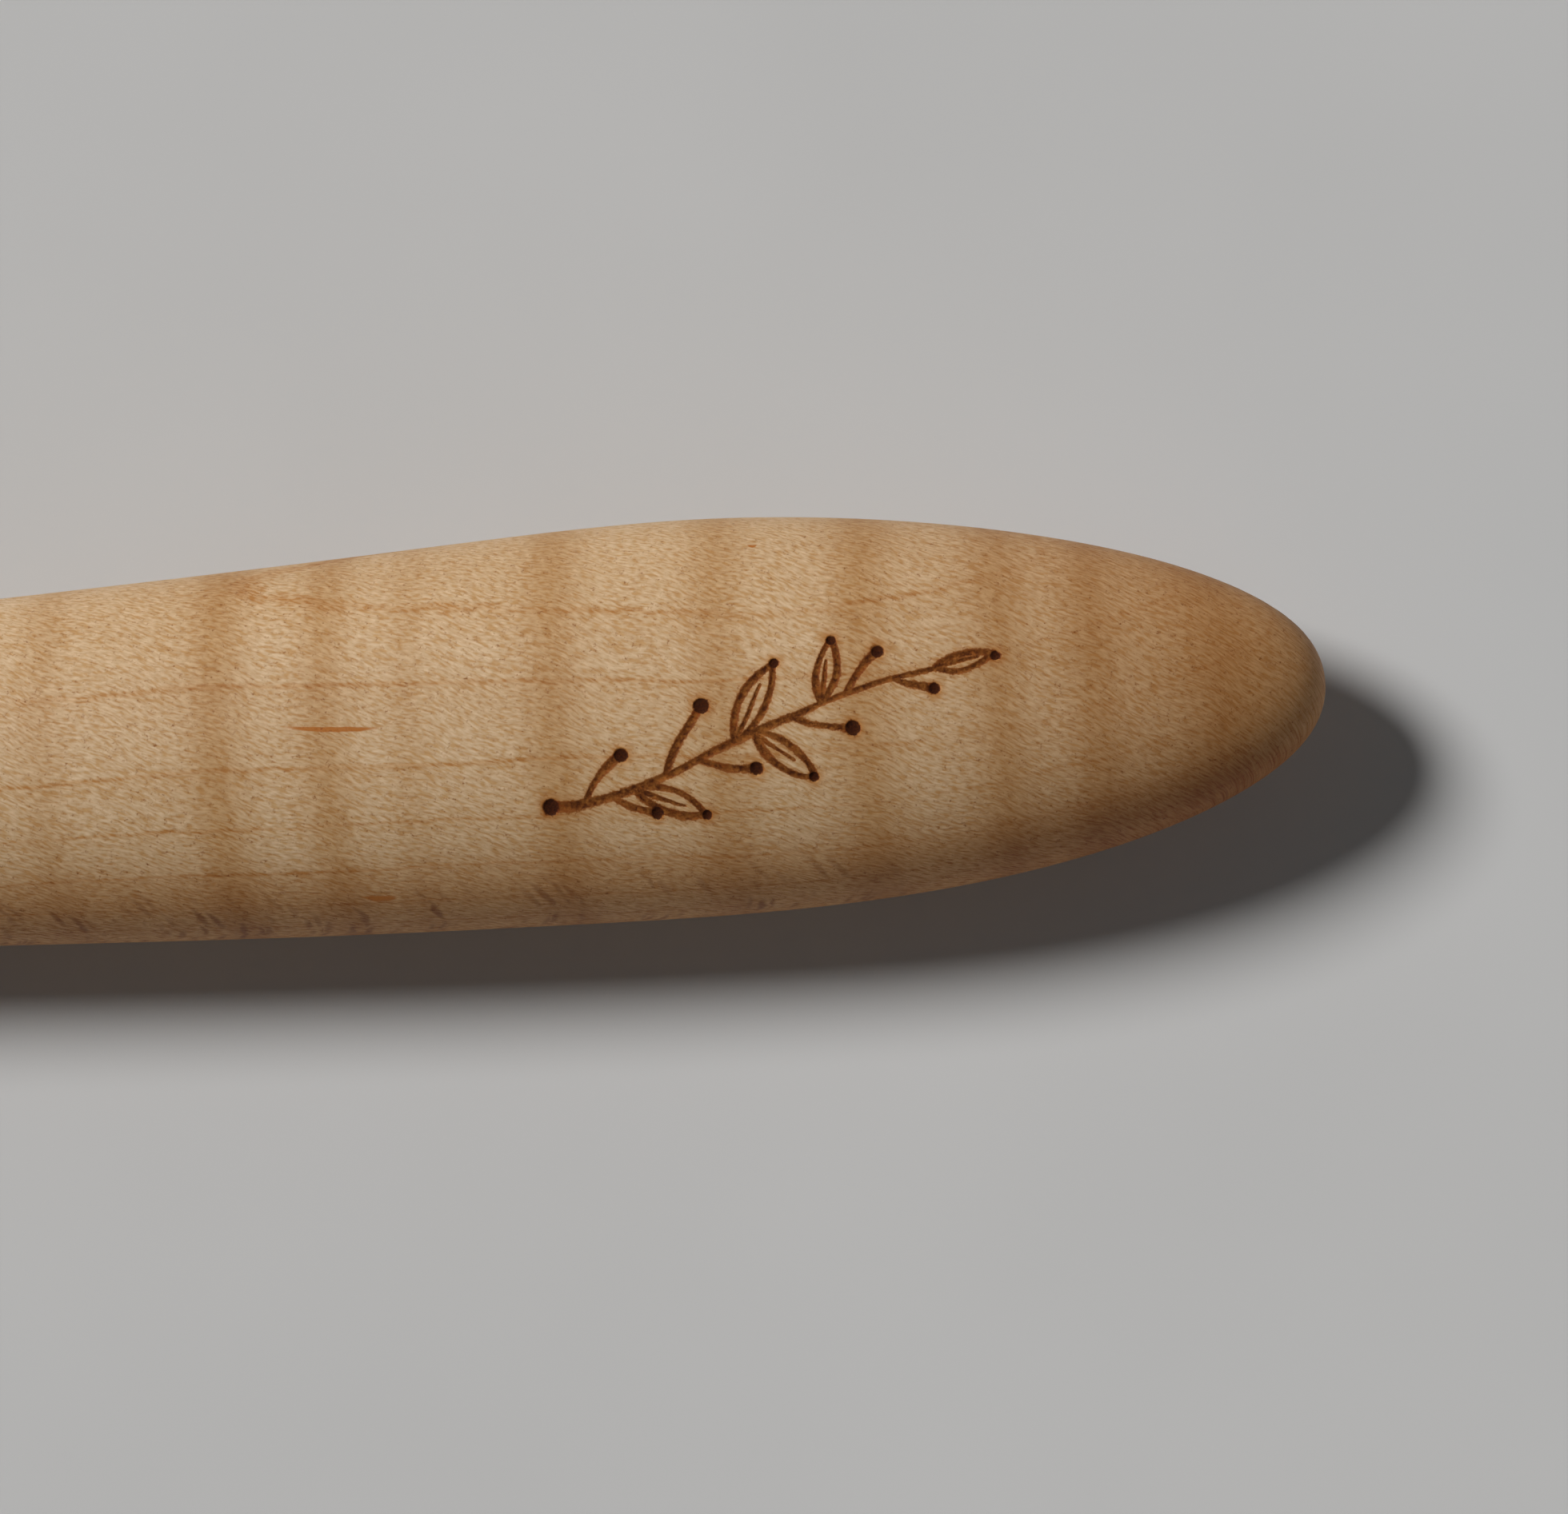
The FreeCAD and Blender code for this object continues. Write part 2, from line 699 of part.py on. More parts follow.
def battery_wires():
    """The supply wire over the bridge and the return wire beside the cell, both to the board."""
    high, drop = "axis_height + lead_bore", "board_bay_start + board_ledge + supply_wire_past_ledge"
    beside, joint = "axis_side + supply_wire_side", "axis_side + supply_wire_joint_side"
    supply = wire("supply_wire", (
        (at_station("cell_bay_end - touch_gap"), beside, high),
        (at_station(drop), beside, high),
        (at_station(drop), joint, high),
        (at_station(drop), joint, "board_top + fit_gap"),
    ))
    rear = "cell_bay_start + touch_gap + contact_thickness + wire_radius + fit_gap"
    beside, low = "axis_side + return_wire_side", "return_wire_up"
    inboard = "axis_side + board_bay_half - wire_radius * 2"
    back = wire("return_wire", (
        (at_station(rear), "axis_side + return_wire_start_side", low),
        (at_station(rear), beside, low),
        (at_station("cell_bay_end + return_wire_past_cell"), beside, low),
        (at_station("board_bay_start + return_wire_turn_in"), inboard, low),
        (at_station("board_bay_start + return_wire_joint"), inboard, low),
        (at_station("board_bay_start + return_wire_joint"), inboard,
         "board_top - board_thickness - fit_gap"),
    ))
    return group("battery_wires", supply, back)


# ---------------------------------------------------------------- control board and controls

def control_board():
    """The circuit board, screwed up against the ledge of its bay."""
    board = box("board_blank",
                stretch("board_bay_start + board_clearance", "board_bay_end - board_clearance"),
                middle("board_bay_half - board_clearance"),
                ("board_top - board_thickness", "board_top"))
    holes = [
        rod(f"board_hole_{index}", "board_screw_radius", "board_thickness * 3", at_station(station),
            side=f"axis_side + ({side})", up="board_top - board_thickness * 2")
        for index, (station, side) in enumerate(BOARD_SCREWS)
    ]
    return cut("control_board", board, fuse("board_holes", *holes))


def board_screws():
    """Two small pan-head screws holding the board."""
    screws = []
    for index, (station, offset) in enumerate(BOARD_SCREWS):
        side = f"axis_side + ({offset})"
        underside = "board_top - board_thickness"
        head = rod(f"board_screw_head_{index}", "board_screw_head", "board_thickness * 0.8",
                   at_station(station), side=side, up=f"{underside} - board_thickness * 0.8")
        shank = rod(f"board_screw_shank_{index}", "board_screw_radius - fit_gap", "board_screw_length",
                    at_station(station), side=side, up=underside)
        screws.append(fuse(f"board_screw_{index}", head, shank))
    return group("board_screws", *screws)


def board_components():
    """The chips, inductor and small parts soldered to both faces of the board."""
    chips = []
    for name, station, side, half_length, half_width, tall, face in BOARD_CHIPS:
        low, high = ("board_top", f"board_top + {tall}")
        if face < 0:
            low, high = (f"board_top - board_thickness - {tall}", "board_top - board_thickness")
        chips.append(box(name, stretch(f"{station - half_length}", f"{station + half_length}"),
                         (f"axis_side + ({side - half_width})", f"axis_side + ({side + half_width})"),
                         (low, high)))
    return group("board_components", *chips)


def tact_switch():
    """The push switch's square case, bored for its plunger."""
    case = box("tact_case", stretch("button_at - switch_half", "button_at + switch_half"),
               middle("switch_half"), ("board_top", "board_top + switch_height"))
    bore = rod("tact_bore", "plunger_radius + running_gap", "switch_height", at_station("button_at"),
               up="board_top + stem_foot")
    return cut("tact_switch", case, bore)


def switch_plunger():
    """The push switch's plunger, under the button's stem."""
    length = "plunger_top - board_top - switch_height + stem_foot"
    return turned("switch_plunger", disc_points("plunger_radius", length), at_station("button_at"),
                  up=f"plunger_top - ({length})", turn=UPWARD)


def power_button():
    """The button: a domed cap, a flange that the bezel holds down, and a stem."""
    bottom = "plunger_top"
    flange_top = f"bezel_base - running_gap - {bottom}"
    top = f"button_top - {bottom}"
    points = (
        ("0", "0"),
        (f"{top} - button_dome / 2", "0"),
        (top, "button_radius * 0.45"),
        (f"{top} - button_dome * 0.3", "button_radius * 0.8"),
        (f"{top} - button_dome", "button_radius"),
        (flange_top, "button_radius"),
        (flange_top, "button_flange"),
        (f"{flange_top} - stem_foot", "button_flange"),
        (f"{flange_top} - stem_foot", "plunger_radius"),
        ("0", "plunger_radius"),
    )
    return turned("power_button", points, at_station("button_at"), up=bottom, turn=UPWARD)


def button_bezel(blank):
    """A brass ring let into the wood and sanded flush with it."""
    ring = turned("bezel_ring", tube_points("bezel_inner", "bezel_outer", "bezel_blank"),
                  at_station("button_at"), up="bezel_base", turn=UPWARD)
    return common("button_bezel", ring, blank)


def slide_switch():
    """The slide switch's case, slotted for its lever."""
    case = box("slide_case",
               stretch("slider_at - slide_switch_length / 2", "slider_at + slide_switch_length / 2"),
               middle("slide_switch_half"), ("board_top", "board_top + slide_switch_height"))
    slot = box("slide_slot",
               stretch("slider_at - slider_travel / 2 - lever_half - running_gap",
                       "slider_at + slider_travel / 2 + lever_half + running_gap"),
               middle("lever_half + running_gap"),
               ("board_top + slide_switch_floor", "board_top + slide_switch_height + 1"))
    return cut("slide_switch", case, slot)


def switch_lever():
    """The slide switch's lever, moved by the slider."""
    return box("switch_lever", stretch(f"{SLIDER_REST} - lever_half", f"{SLIDER_REST} + lever_half"),
               middle("lever_half"), ("board_top + lever_foot", "bay_ceiling - running_gap - slider_skirt"))


def lock_slider():
    """The slider: a ridged thumb piece on a skirt that runs under the slot."""
    body = new_body("lock_slider", at_station(f"{SLIDER_REST} - slider_length / 2"),
                    side="axis_side", up="bay_ceiling - running_gap - slider_skirt", turn=TOWARDS_POINT)
    overhang = "(slider_skirt_length - slider_length) / 2"
    skirt_points = (
        (f"0 - {overhang}", "-slider_skirt_half"),
        (f"slider_length + {overhang}", "-slider_skirt_half"),
        (f"slider_length + {overhang}", "slider_skirt_half"),
        (f"0 - {overhang}", "slider_skirt_half"),
    )
    pad(body, "slider_skirt_pad", outline(body, "slider_skirt_outline", skirt_points), "slider_skirt")
    ridge, tall = "slider_length / 4", "slider_top - bay_ceiling + running_gap + slider_skirt"
    points = [("0", "0"), ("slider_length", "0")]
    for notch in (3, 2, 1):
        points.append((f"{ridge} * {notch + 1}", tall))
        points.append((f"{ridge} * {notch} + {ridge} * 0.3", tall))
        points.append((f"{ridge} * {notch} + {ridge} * 0.15", f"{tall} - ridge_depth"))
        points.append((f"{ridge} * {notch}", f"{tall} - ridge_depth"))
    points.append((f"{ridge}", tall))
    points.append(("0", tall))
    thumb = pad(body, "slider_thumb", outline(body, "slider_profile", points, plane="XZ_Plane"),
                "slider_half_width * 2")
    thumb.Midplane = True
    return body


def slot_block(label, low, high):
    """The slider's slot as a block between two heights."""
    ends = stretch("slider_at - slot_length / 2", "slider_at + slot_length / 2")
    return box(label, ends, middle("slot_half"), (low, high))


def slider_plate(blank):
    """A brass plate round the slider's slot, flush with the wood."""
    plate = cut("plate_blank",
                obround("plate_outer", "plate_length", "plate_half", "slider_at", "bezel_base",
                        "axis_height * 3"),
                slot_block("plate_inner", "bezel_base - 1", "axis_height * 3 + 1"))
    return common("slider_plate", plate, blank)


def status_led():
    """The indicator's light source on the board."""
    return box("status_led", stretch("lens_at - led_half_length", "lens_at + led_half_length"),
               middle("led_half_width"), ("board_top", "board_top + led_height"))


def led_lens():
    """A clear rod that carries the light up through the wood, domed at its top."""
    start = "board_top + lens_foot"
    length = f"lens_shoulder_up - ({start})"
    points = (
        ("0", "0"),
        (f"{length} + lens_dome", "0"),
        (f"{length} + lens_dome * 0.72", "lens_radius * 0.5"),
        (length, "lens_radius * 0.85"),
        (f"{length} - lens_dome * 0.8", "lens_radius"),
        ("0", "lens_radius"),
    )
    return turned("led_lens", points, at_station("lens_at"), up=start, turn=UPWARD)


def socket_shell():
    """The charging socket's drawn metal shell, opening at the underside."""
    top = "board_top - board_thickness"
    outer = obround("shell_outer", "socket_half_length * 2", "socket_half_width", "socket_at",
                    "socket_mouth", top)
    inner = obround("shell_inner", "(socket_half_length - socket_wall) * 2",
                    "socket_half_width - socket_wall", "socket_at", "0", top)
    return cut("socket_shell", outer, inner)


def socket_body():
    """The socket's insulating block and the contact tongue that stands in it."""
    top = "board_top - board_thickness"
    block = obround("socket_block", "(socket_half_length - socket_wall) * 2",
                    "socket_half_width - socket_wall", "socket_at", f"{top} - socket_block", top)
    tongue = box("socket_tongue",
                 stretch("socket_at - tongue_half_length", "socket_at + tongue_half_length"),
                 middle("tongue_half_width"), ("socket_mouth + tongue_inset", top))
    return fuse("socket_body", block, tongue)


# ---------------------------------------------------------------- ferrule, guard and heater

def ferrule():
    """The brass ferrule: a spigot in the wood, a turned taper and a collar for the guard."""
    seat = "spigot_length"
    shoulder = f"{seat} + ferrule_length"
    waist = f"{seat} + ferrule_land + ferrule_groove_front"
    points = (
        ("0", "ferrule_bore"),
        (f"{shoulder} + collar_length", "ferrule_bore"),
        (f"{shoulder} + collar_length", "collar_radius"),
        (shoulder, "collar_radius"),
        (shoulder, "ferrule_neck"),
        (f"{shoulder} - 1", "ferrule_neck + 0.15"),
        (f"{waist} + ferrule_taper", "ferrule_neck + 0.75"),
        (waist, "ferrule_radius - 0.3"),
        (waist, "ferrule_radius - ferrule_groove - 0.2"),
        (f"{waist} - ferrule_groove_width", "ferrule_radius - ferrule_groove - 0.2"),
        (f"{waist} - ferrule_groove_width", "ferrule_radius - 0.1"),
        (f"{waist} - 1", "ferrule_radius"),
        (f"{seat} + 0.25", "ferrule_radius"),
        (seat, "ferrule_radius - 0.25"),
        (seat, "spigot_radius"),
        ("0.4", "spigot_radius"),
        ("0", "spigot_radius - 0.4"),
    )
    body = turned("ferrule_turned", points, at_station("handle_length - spigot_length"),
                  turn=TOWARDS_POINT)
    drilled = rod("ferrule_pin_hole", "pin_radius", "swell_half_width * 2", at_station("pin_station"),
                  side="axis_side - swell_half_width", turn=ACROSS)
    return cut("ferrule", body, drilled)


def ferrule_pins(blank):
    """Two brass pins through the wood into the spigot, sanded flush."""
    pins = []
    for name, low, high in (("pin_left", "bush_radius + 0.1", "swell_half_width"),
                            ("pin_right", "0 - swell_half_width", "0 - bush_radius - 0.1")):
        pin = rod(f"{name}_rod", "pin_radius - 0.01", f"({high}) - ({low})", at_station("pin_station"),
                  side=f"axis_side + ({low})", turn=ACROSS)
        pins.append(common(name, pin, blank))
    return group("ferrule_pins", *pins)


def insulator_bush():
    """A ceramic bush that keeps the heater's heat out of the ferrule."""
    total = "bush_length"
    points = (
        ("0", "lead_bore"),
        ("barrel_start - bush_start", "lead_bore"),
        ("barrel_start - bush_start", "barrel_radius"),
        (f"{total} + bush_flange_length", "barrel_radius"),
        (f"{total} + bush_flange_length", "bush_flange"),
        (f"{total} + 0.5", "bush_flange"),
        (f"{total} + 0.5", "bush_radius"),
        ("0", "bush_radius"),
    )
    return turned("insulator_bush", points, at_station("bush_start"), turn=TOWARDS_POINT)


def heater_barrel():
    """The thin steel tube that carries the heater and the point."""
    return turned("heater_barrel",
                  tube_points("barrel_radius - barrel_wall", "barrel_radius", "barrel_length"),
                  at_station("barrel_start"), turn=TOWARDS_POINT)


def heater_sleeve():
    """A thin insulating sleeve between the heater rod and the barrel."""
    return turned("heater_sleeve", tube_points("core_radius", "sleeve_radius", "core_length"),
                  at_station("core_start"), turn=TOWARDS_POINT)


def heater_core():
    """The ceramic heater rod."""
    return turned("heater_core", disc_points("core_radius", "core_length"), at_station("core_start"),
                  turn=TOWARDS_POINT)


def heater_leads():
    """Two leads from the board, through the ferrule, to the heater rod."""
    start = "board_bay_end - board_ledge + running_gap"
    leads = [
        rod_along(f"lead_{name}", "wire_radius", start, "core_start", side=f"axis_side + ({side})",
                  up="board_top + wire_radius + fit_gap")
        for name, side in (("a", "lead_side"), ("b", "-lead_side"))
    ]
    return group("heater_leads", *leads)


def heat_guard():
    """The perforated steel guard, with staggered rings of slots."""
    body = turned("heat_guard_turned",
                  tube_points("guard_radius - guard_wall", "guard_radius", "guard_length"),
                  at_station(GUARD_START), turn=TOWARDS_POINT)
    for ring, roll in ((0, 0.0), (1, 22.5)):
        rear = f"guard_slot_first + guard_slot_pitch * {ring}"
        front, half = f"{rear} + guard_slot_length", "guard_slot_half"
        points = (
            (rear, f"0 - {half} * 0.5"), (f"{rear} + {half} * 0.5", f"-{half}"),
            (f"{front} - {half} * 0.5", f"-{half}"), (front, f"0 - {half} * 0.5"),
            (front, f"{half} * 0.5"), (f"{front} - {half} * 0.5", half),
            (f"{rear} + {half} * 0.5", half), (rear, f"{half} * 0.5"),
        )
        sketch = outline(body, f"guard_slot_{ring}", points, roll=roll)
        slot = pocket(body, f"guard_pocket_{ring}", sketch, "guard_radius + 1", reverse=True)
        around(body, f"guard_ring_{ring}", [slot], "8")
    return body


def guard_holes():
    return [(f"{GUARD_START} + guard_screw_at", angle) for angle in (90, 210, 330)]


def radial(thing, station, angle, inner):
    """Stand a shape's own Z axis outwards from the pen's axis at an angle about it."""
    turn = Rotation(Vector(1, 0, 0), angle - 90)
    outwards = turn.multVec(Vector(0, 0, 1))
    place(thing, at_station(station), f"axis_side + ({inner}) * {outwards.y:.6f}",
          f"axis_height + ({inner}) * {outwards.z:.6f}", turn)
    return thing


def guard_screws():
    """Three small dome-head screws that fix the guard to the ferrule's collar."""
    screws = []
    for index, (station, angle) in enumerate(guard_holes()):
        shank = rod(f"guard_shank_{index}", "guard_screw_radius",
                    "guard_radius - ferrule_bore - guard_screw_inset + touch_gap", "0")
        radial(shank, station, angle, "ferrule_bore + guard_screw_inset")
        head = rod(f"guard_head_{index}", "guard_screw_head", "guard_screw_height", "0")
        radial(head, station, angle, "guard_radius + fit_gap")
        screws.append(fuse(f"guard_screw_{index}", shank, head))
    return group("guard_screws", *screws)


def drilled_for_guard(label, base):
    """The piece with the guard screws' three holes through it."""
    holes = []
    for index, (station, angle) in enumerate(guard_holes()):
        hole = rod(f"{label}_hole_{index}", "guard_hole_radius", "guard_radius - ferrule_bore + 1", "0")
        holes.append(radial(hole, station, angle, "ferrule_bore - 0.2"))
    return cut(label, base, fuse(f"{label}_holes", *holes))


def guard_ring():
    """The ring at the guard's mouth that keeps the barrel central."""
    rim = "guard_radius - guard_wall - fit_gap"
    body = turned("guard_ring", tube_points("barrel_radius + fit_gap", rim, "ring_length"),
                  at_station(f"{GUARD_START} + guard_length - ring_length"), turn=TOWARDS_POINT)
    points = (
        ("vent_inner", "-vent_half"), ("vent_inner", "vent_half"),
        ("vent_outer", "vent_half"), ("vent_outer", "-vent_half"),
    )
    sketch = outline(body, "guard_vent", points, plane="YZ_Plane", offset="ring_length")
    hole = pocket(body, "guard_vent_pocket", sketch, "ring_length * 1.5")
    around(body, "guard_vents", [hole], "6")
    return body


# ---------------------------------------------------------------- the point and its nut

def point_socket():
    """The plug in the barrel's end that the point's shank goes into."""
    length = "socket_plug_length"
    points = (
        ("0", "shank_radius + fit_gap"),
        (f"{length} + socket_plug_flange_length", "shank_radius + fit_gap"),
        (f"{length} + socket_plug_flange_length", "socket_plug_flange - 0.3"),
        (f"{length} + socket_plug_flange_length - 0.3", "socket_plug_flange"),
        (length, "socket_plug_flange"),
        (length, "barrel_radius - barrel_wall"),
        ("0", "barrel_radius - barrel_wall"),
    )
    return turned("point_socket", points, at_station(f"{BARREL_END} - {length}"), turn=TOWARDS_POINT)


def point_nut():
    """The knurled nut that locks the point."""
    points = (
        ("0", "nut_bore"),
        ("nut_length", "nut_bore"),
        ("nut_length", "nut_radius - nut_chamfer"),
        ("nut_length - nut_chamfer", "nut_radius"),
        ("nut_chamfer / 2", "nut_radius"),
        ("0", "nut_radius - nut_chamfer / 2"),
    )
    body = turned("point_nut", points, at_station(NUT_START), turn=TOWARDS_POINT)
    rim = "nut_radius + 0.2"
    notch = (("nut_radius - knurl_depth", "0"), (rim, "knurl_depth * 1.1"), (rim, "-knurl_depth * 1.1"))
    sketch = outline(body, "knurl_notch", notch, plane="YZ_Plane", offset="nut_length")
    groove = pocket(body, "knurl_groove", sketch, "nut_length * 2", midplane=True)
    around(body, "knurl", [groove], "knurl_count")
    return body


def burning_point():
    """The brass point: a shank, a shoulder, a neck and a body ground to a slanted wedge."""
    start = f"{BARREL_END} - shank_back"
    shoulder = f"{NUT_START} + nut_length + nut_face_gap - ({start})"
    neck = f"{shoulder} + point_shoulder_length"
    body_start = f"{neck} + point_neck_length"
    end = f"overall_length - ({start})"
    points = (
        ("0", "0"),
        (end, "0"),
        (end, "point_edge * 3"),
        (f"{end} - point_edge_blend", "point_body * 0.82"),
        (f"{body_start} + 1.2", "point_body"),
        (body_start, "point_body * 0.85"),
        (f"{body_start} - point_neck_blend", "point_neck"),
        (neck, "point_neck"),
        (neck, "point_shoulder - 0.3"),
        (f"{neck} - 0.3", "point_shoulder"),
        (shoulder, "point_shoulder"),
        (shoulder, "shank_radius"),
        ("0.4", "shank_radius"),
        ("0", "shank_radius - 0.4"),
    )
    body = turned("burning_point", points, at_station(start), turn=TOWARDS_POINT)
    rise = "point_body + 1"
    for name, sign in (("upper", ""), ("lower", "-")):
        facet = (
            (f"{body_start} + facet_start", f"{sign}({rise})"),
            (f"{body_start} + facet_start", f"{sign}(point_body)"),
            (f"{end} + 0.1", f"{sign}(point_edge)"),
            (f"{end} + 0.1", f"{sign}({rise})"),
        )
        sketch = outline(body, f"facet_{name}", facet, plane="XZ_Plane")
        pocket(body, f"facet_{name}_cut", sketch, "point_body * 4", midplane=True)
    slant = (
        (f"{end} - slant_length", "point_body * 1.2"),
        (f"{end} + 0.5", "point_body * 1.2"),
        (f"{end} + 0.5", "point_edge * 2"),
        (f"{end} - 0.02", "point_edge * 2"),
    )
    sketch = outline(body, "slant_outline", slant)
    pocket(body, "slant_cut", sketch, "point_body * 4", midplane=True)
    return body


# ---------------------------------------------------------------- build, check and export

def build():
    blank = handle_blank()
    doc.recompute()
    return [
        handle(blank),
        base_cover(blank),
        cover_screws(),
        battery_cell(),
        leaf_contact("rear_contact", "cell_bay_start + touch_gap",
                     "cell_start - cell_bay_start - touch_gap * 2"),
        box("front_contact", stretch("cell_bay_end - contact_thickness", "cell_bay_end - touch_gap"),
            middle("contact_half"), ("axis_height - contact_half", "axis_height + contact_half")),
        battery_wires(),
        control_board(),
        board_screws(),
        board_components(),
        tact_switch(),
        switch_plunger(),
        power_button(),
        button_bezel(blank),
        slide_switch(),
        switch_lever(),
        lock_slider(),
        slider_plate(blank),
        status_led(),
        led_lens(),
        socket_shell(),
        socket_body(),
        drilled_for_guard("front_ferrule", ferrule()),
        ferrule_pins(blank),
        insulator_bush(),
        heater_barrel(),
        heater_sleeve(),
        heater_core(),
        heater_leads(),
        drilled_for_guard("heat_guard", heat_guard()),
        guard_screws(),
        guard_ring(),
        point_socket(),
        point_nut(),
        burning_point(),
    ]


def check(parts):
    """Stop if any feature failed or any sub-part's shape is unusable."""
    for thing in doc.Objects:
        if "Invalid" in thing.State or "Error" in thing.State:
            raise RuntimeError(f"{thing.Label} failed: {thing.State}")
    for part in parts:
        if part.Shape.isNull() or not part.Shape.isValid() or not part.Shape.Solids:
            raise RuntimeError(f"{part.Label} has no valid solid")


def export(parts):
    os.makedirs("parts", exist_ok=True)
    for part in parts:
        part.Shape.exportStep(f"parts/{part.Label}.step")
        limits = part.Shape.optimalBoundingBox()
        print(f"{part.Label:18s} solids {len(part.Shape.Solids):2d}  volume {part.Shape.Volume:9.2f}"
              f"  x {limits.XMin:7.2f} {limits.XMax:7.2f}  y {limits.YMin:7.2f} {limits.YMax:7.2f}"
              f"  z {limits.ZMin:6.2f} {limits.ZMax:6.2f}")


sub_parts = build()
doc.recompute()
check(sub_parts)
export(sub_parts)
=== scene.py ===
import json
import math

import bmesh
import bpy
import numpy as np
from mathutils import Matrix, Vector

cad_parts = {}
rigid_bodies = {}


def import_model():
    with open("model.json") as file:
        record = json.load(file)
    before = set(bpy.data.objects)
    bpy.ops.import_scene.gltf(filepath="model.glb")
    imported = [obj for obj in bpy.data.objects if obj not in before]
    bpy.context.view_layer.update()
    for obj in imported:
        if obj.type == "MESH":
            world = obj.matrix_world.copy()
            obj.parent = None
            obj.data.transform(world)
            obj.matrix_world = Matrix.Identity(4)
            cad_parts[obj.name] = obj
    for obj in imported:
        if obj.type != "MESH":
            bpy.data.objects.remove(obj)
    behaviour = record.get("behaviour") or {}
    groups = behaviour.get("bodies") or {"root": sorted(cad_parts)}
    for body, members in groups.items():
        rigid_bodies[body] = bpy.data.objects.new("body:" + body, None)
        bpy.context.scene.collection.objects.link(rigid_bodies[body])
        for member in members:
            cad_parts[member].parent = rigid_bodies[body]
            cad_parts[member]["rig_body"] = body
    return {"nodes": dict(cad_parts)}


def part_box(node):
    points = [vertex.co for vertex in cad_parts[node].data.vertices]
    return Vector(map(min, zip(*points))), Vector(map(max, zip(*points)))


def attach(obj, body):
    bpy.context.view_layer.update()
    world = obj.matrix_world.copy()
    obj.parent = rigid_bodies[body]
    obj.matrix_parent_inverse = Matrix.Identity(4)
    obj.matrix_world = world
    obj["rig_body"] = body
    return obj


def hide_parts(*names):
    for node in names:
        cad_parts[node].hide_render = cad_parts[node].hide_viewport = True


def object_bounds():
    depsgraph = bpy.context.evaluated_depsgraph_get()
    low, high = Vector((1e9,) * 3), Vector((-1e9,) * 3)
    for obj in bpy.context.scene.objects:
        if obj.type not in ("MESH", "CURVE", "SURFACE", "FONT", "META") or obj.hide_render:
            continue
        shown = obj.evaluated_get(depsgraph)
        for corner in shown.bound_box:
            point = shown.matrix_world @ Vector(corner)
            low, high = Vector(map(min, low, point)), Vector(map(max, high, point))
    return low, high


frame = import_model()
cad_low, cad_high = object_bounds()

# Lengths below are in millimetres unless a name says otherwise; Blender's own are in metres.
# +X runs towards the butt, and a "station" is a distance from the butt towards the point.
MM = 0.001


def box_mm(node):
    low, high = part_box(node)
    return low / MM, high / MM


# ------------------------------------------------------------------ the pen's own measures

BUTT = cad_high.x / MM
BARREL_LOW, BARREL_HIGH = box_mm("heater_barrel")
AXIS_Y = (BARREL_LOW.y + BARREL_HIGH.y) / 2
AXIS_Z = (BARREL_LOW.z + BARREL_HIGH.z) / 2

# the carved handle: an elliptical nose up to the swell, then a long gentle taper
SWELL_AT = 38.8
SWELL_HALF_WIDTH = 12.0
SWELL_HALF_HEIGHT = 9.5
BUTT_TRIM = 0.3
BUTT_ROUNDING = 1.1
SIDE_TAPER = 0.042
BACK_TAPER = 0.0103
TAPER_ONSET = 8.0
BOW = 0.4
BOW_SPAN = 18.0

# how finely the CAD copies are divided, and how near the true surface a corner must be to go onto it
FINEST = 0.11
HANDLE_EDGE = 0.6
COVER_EDGE = 0.8
EDGE_GROWTH = 0.4
NOSE_LENGTH = 4
NOSE_TOLERANCE = 0.35
SKIN_TOLERANCE = 0.06
RIM_TOLERANCE = 0.005
WELD = 0.002
SLIVER_AREA = 1e-4
FACET = math.radians(6)
FLAT = math.radians(0.4)
FAR = 99.0


def skin_value(points):
    """Zero on the carved surface, negative inside the wood and positive outside it."""
    station = BUTT - points[:, 0]
    rounded_station = station - BUTT_TRIM * np.exp(-station / BUTT_ROUNDING)
    reach = np.sqrt((station - SWELL_AT) ** 2 + TAPER_ONSET**2) - TAPER_ONSET
    in_nose = station < SWELL_AT
    half_width = SWELL_HALF_WIDTH - np.where(in_nose, 0, SIDE_TAPER * reach)
    half_height = SWELL_HALF_HEIGHT - np.where(in_nose, 0, BACK_TAPER * reach)
    nose = 1 - ((SWELL_AT - rounded_station) / (SWELL_AT + BUTT_TRIM)) ** 2
    centre = AXIS_Y + BOW * np.exp(-(((station - SWELL_AT) / BOW_SPAN) ** 2))
    across = (points[:, 1] - centre) / half_width
    upward = (points[:, 2] - AXIS_Z) / half_height
    return across**2 + upward**2 - np.where(in_nose, nose, 1)


def skin_slope(points, step=0.01):
    """The gradient of skin_value."""
    slopes = []
    for axis in range(3):
        shift = np.zeros(3)
        shift[axis] = step
        slopes.append((skin_value(points + shift) - skin_value(points - shift)) / (2 * step))
    return np.stack(slopes, axis=1)


def onto_skin(points, rounds=4, furthest=0.35):
    """The points moved square onto the carved surface."""
    moved = points.copy()
    for _ in range(rounds):
        slope = skin_slope(moved)
        moved -= slope * (skin_value(moved) / (slope**2).sum(1))[:, None]
    shift = moved - points
    length = np.linalg.norm(shift, axis=1, keepdims=True)
    return points + shift * np.minimum(1, furthest / np.maximum(length, 1e-9))


def skin_distance(points):
    slope = skin_slope(points)
    return np.abs(skin_value(points)) / np.linalg.norm(slope, axis=1)


# ------------------------------------------------------------------ the burned sprig

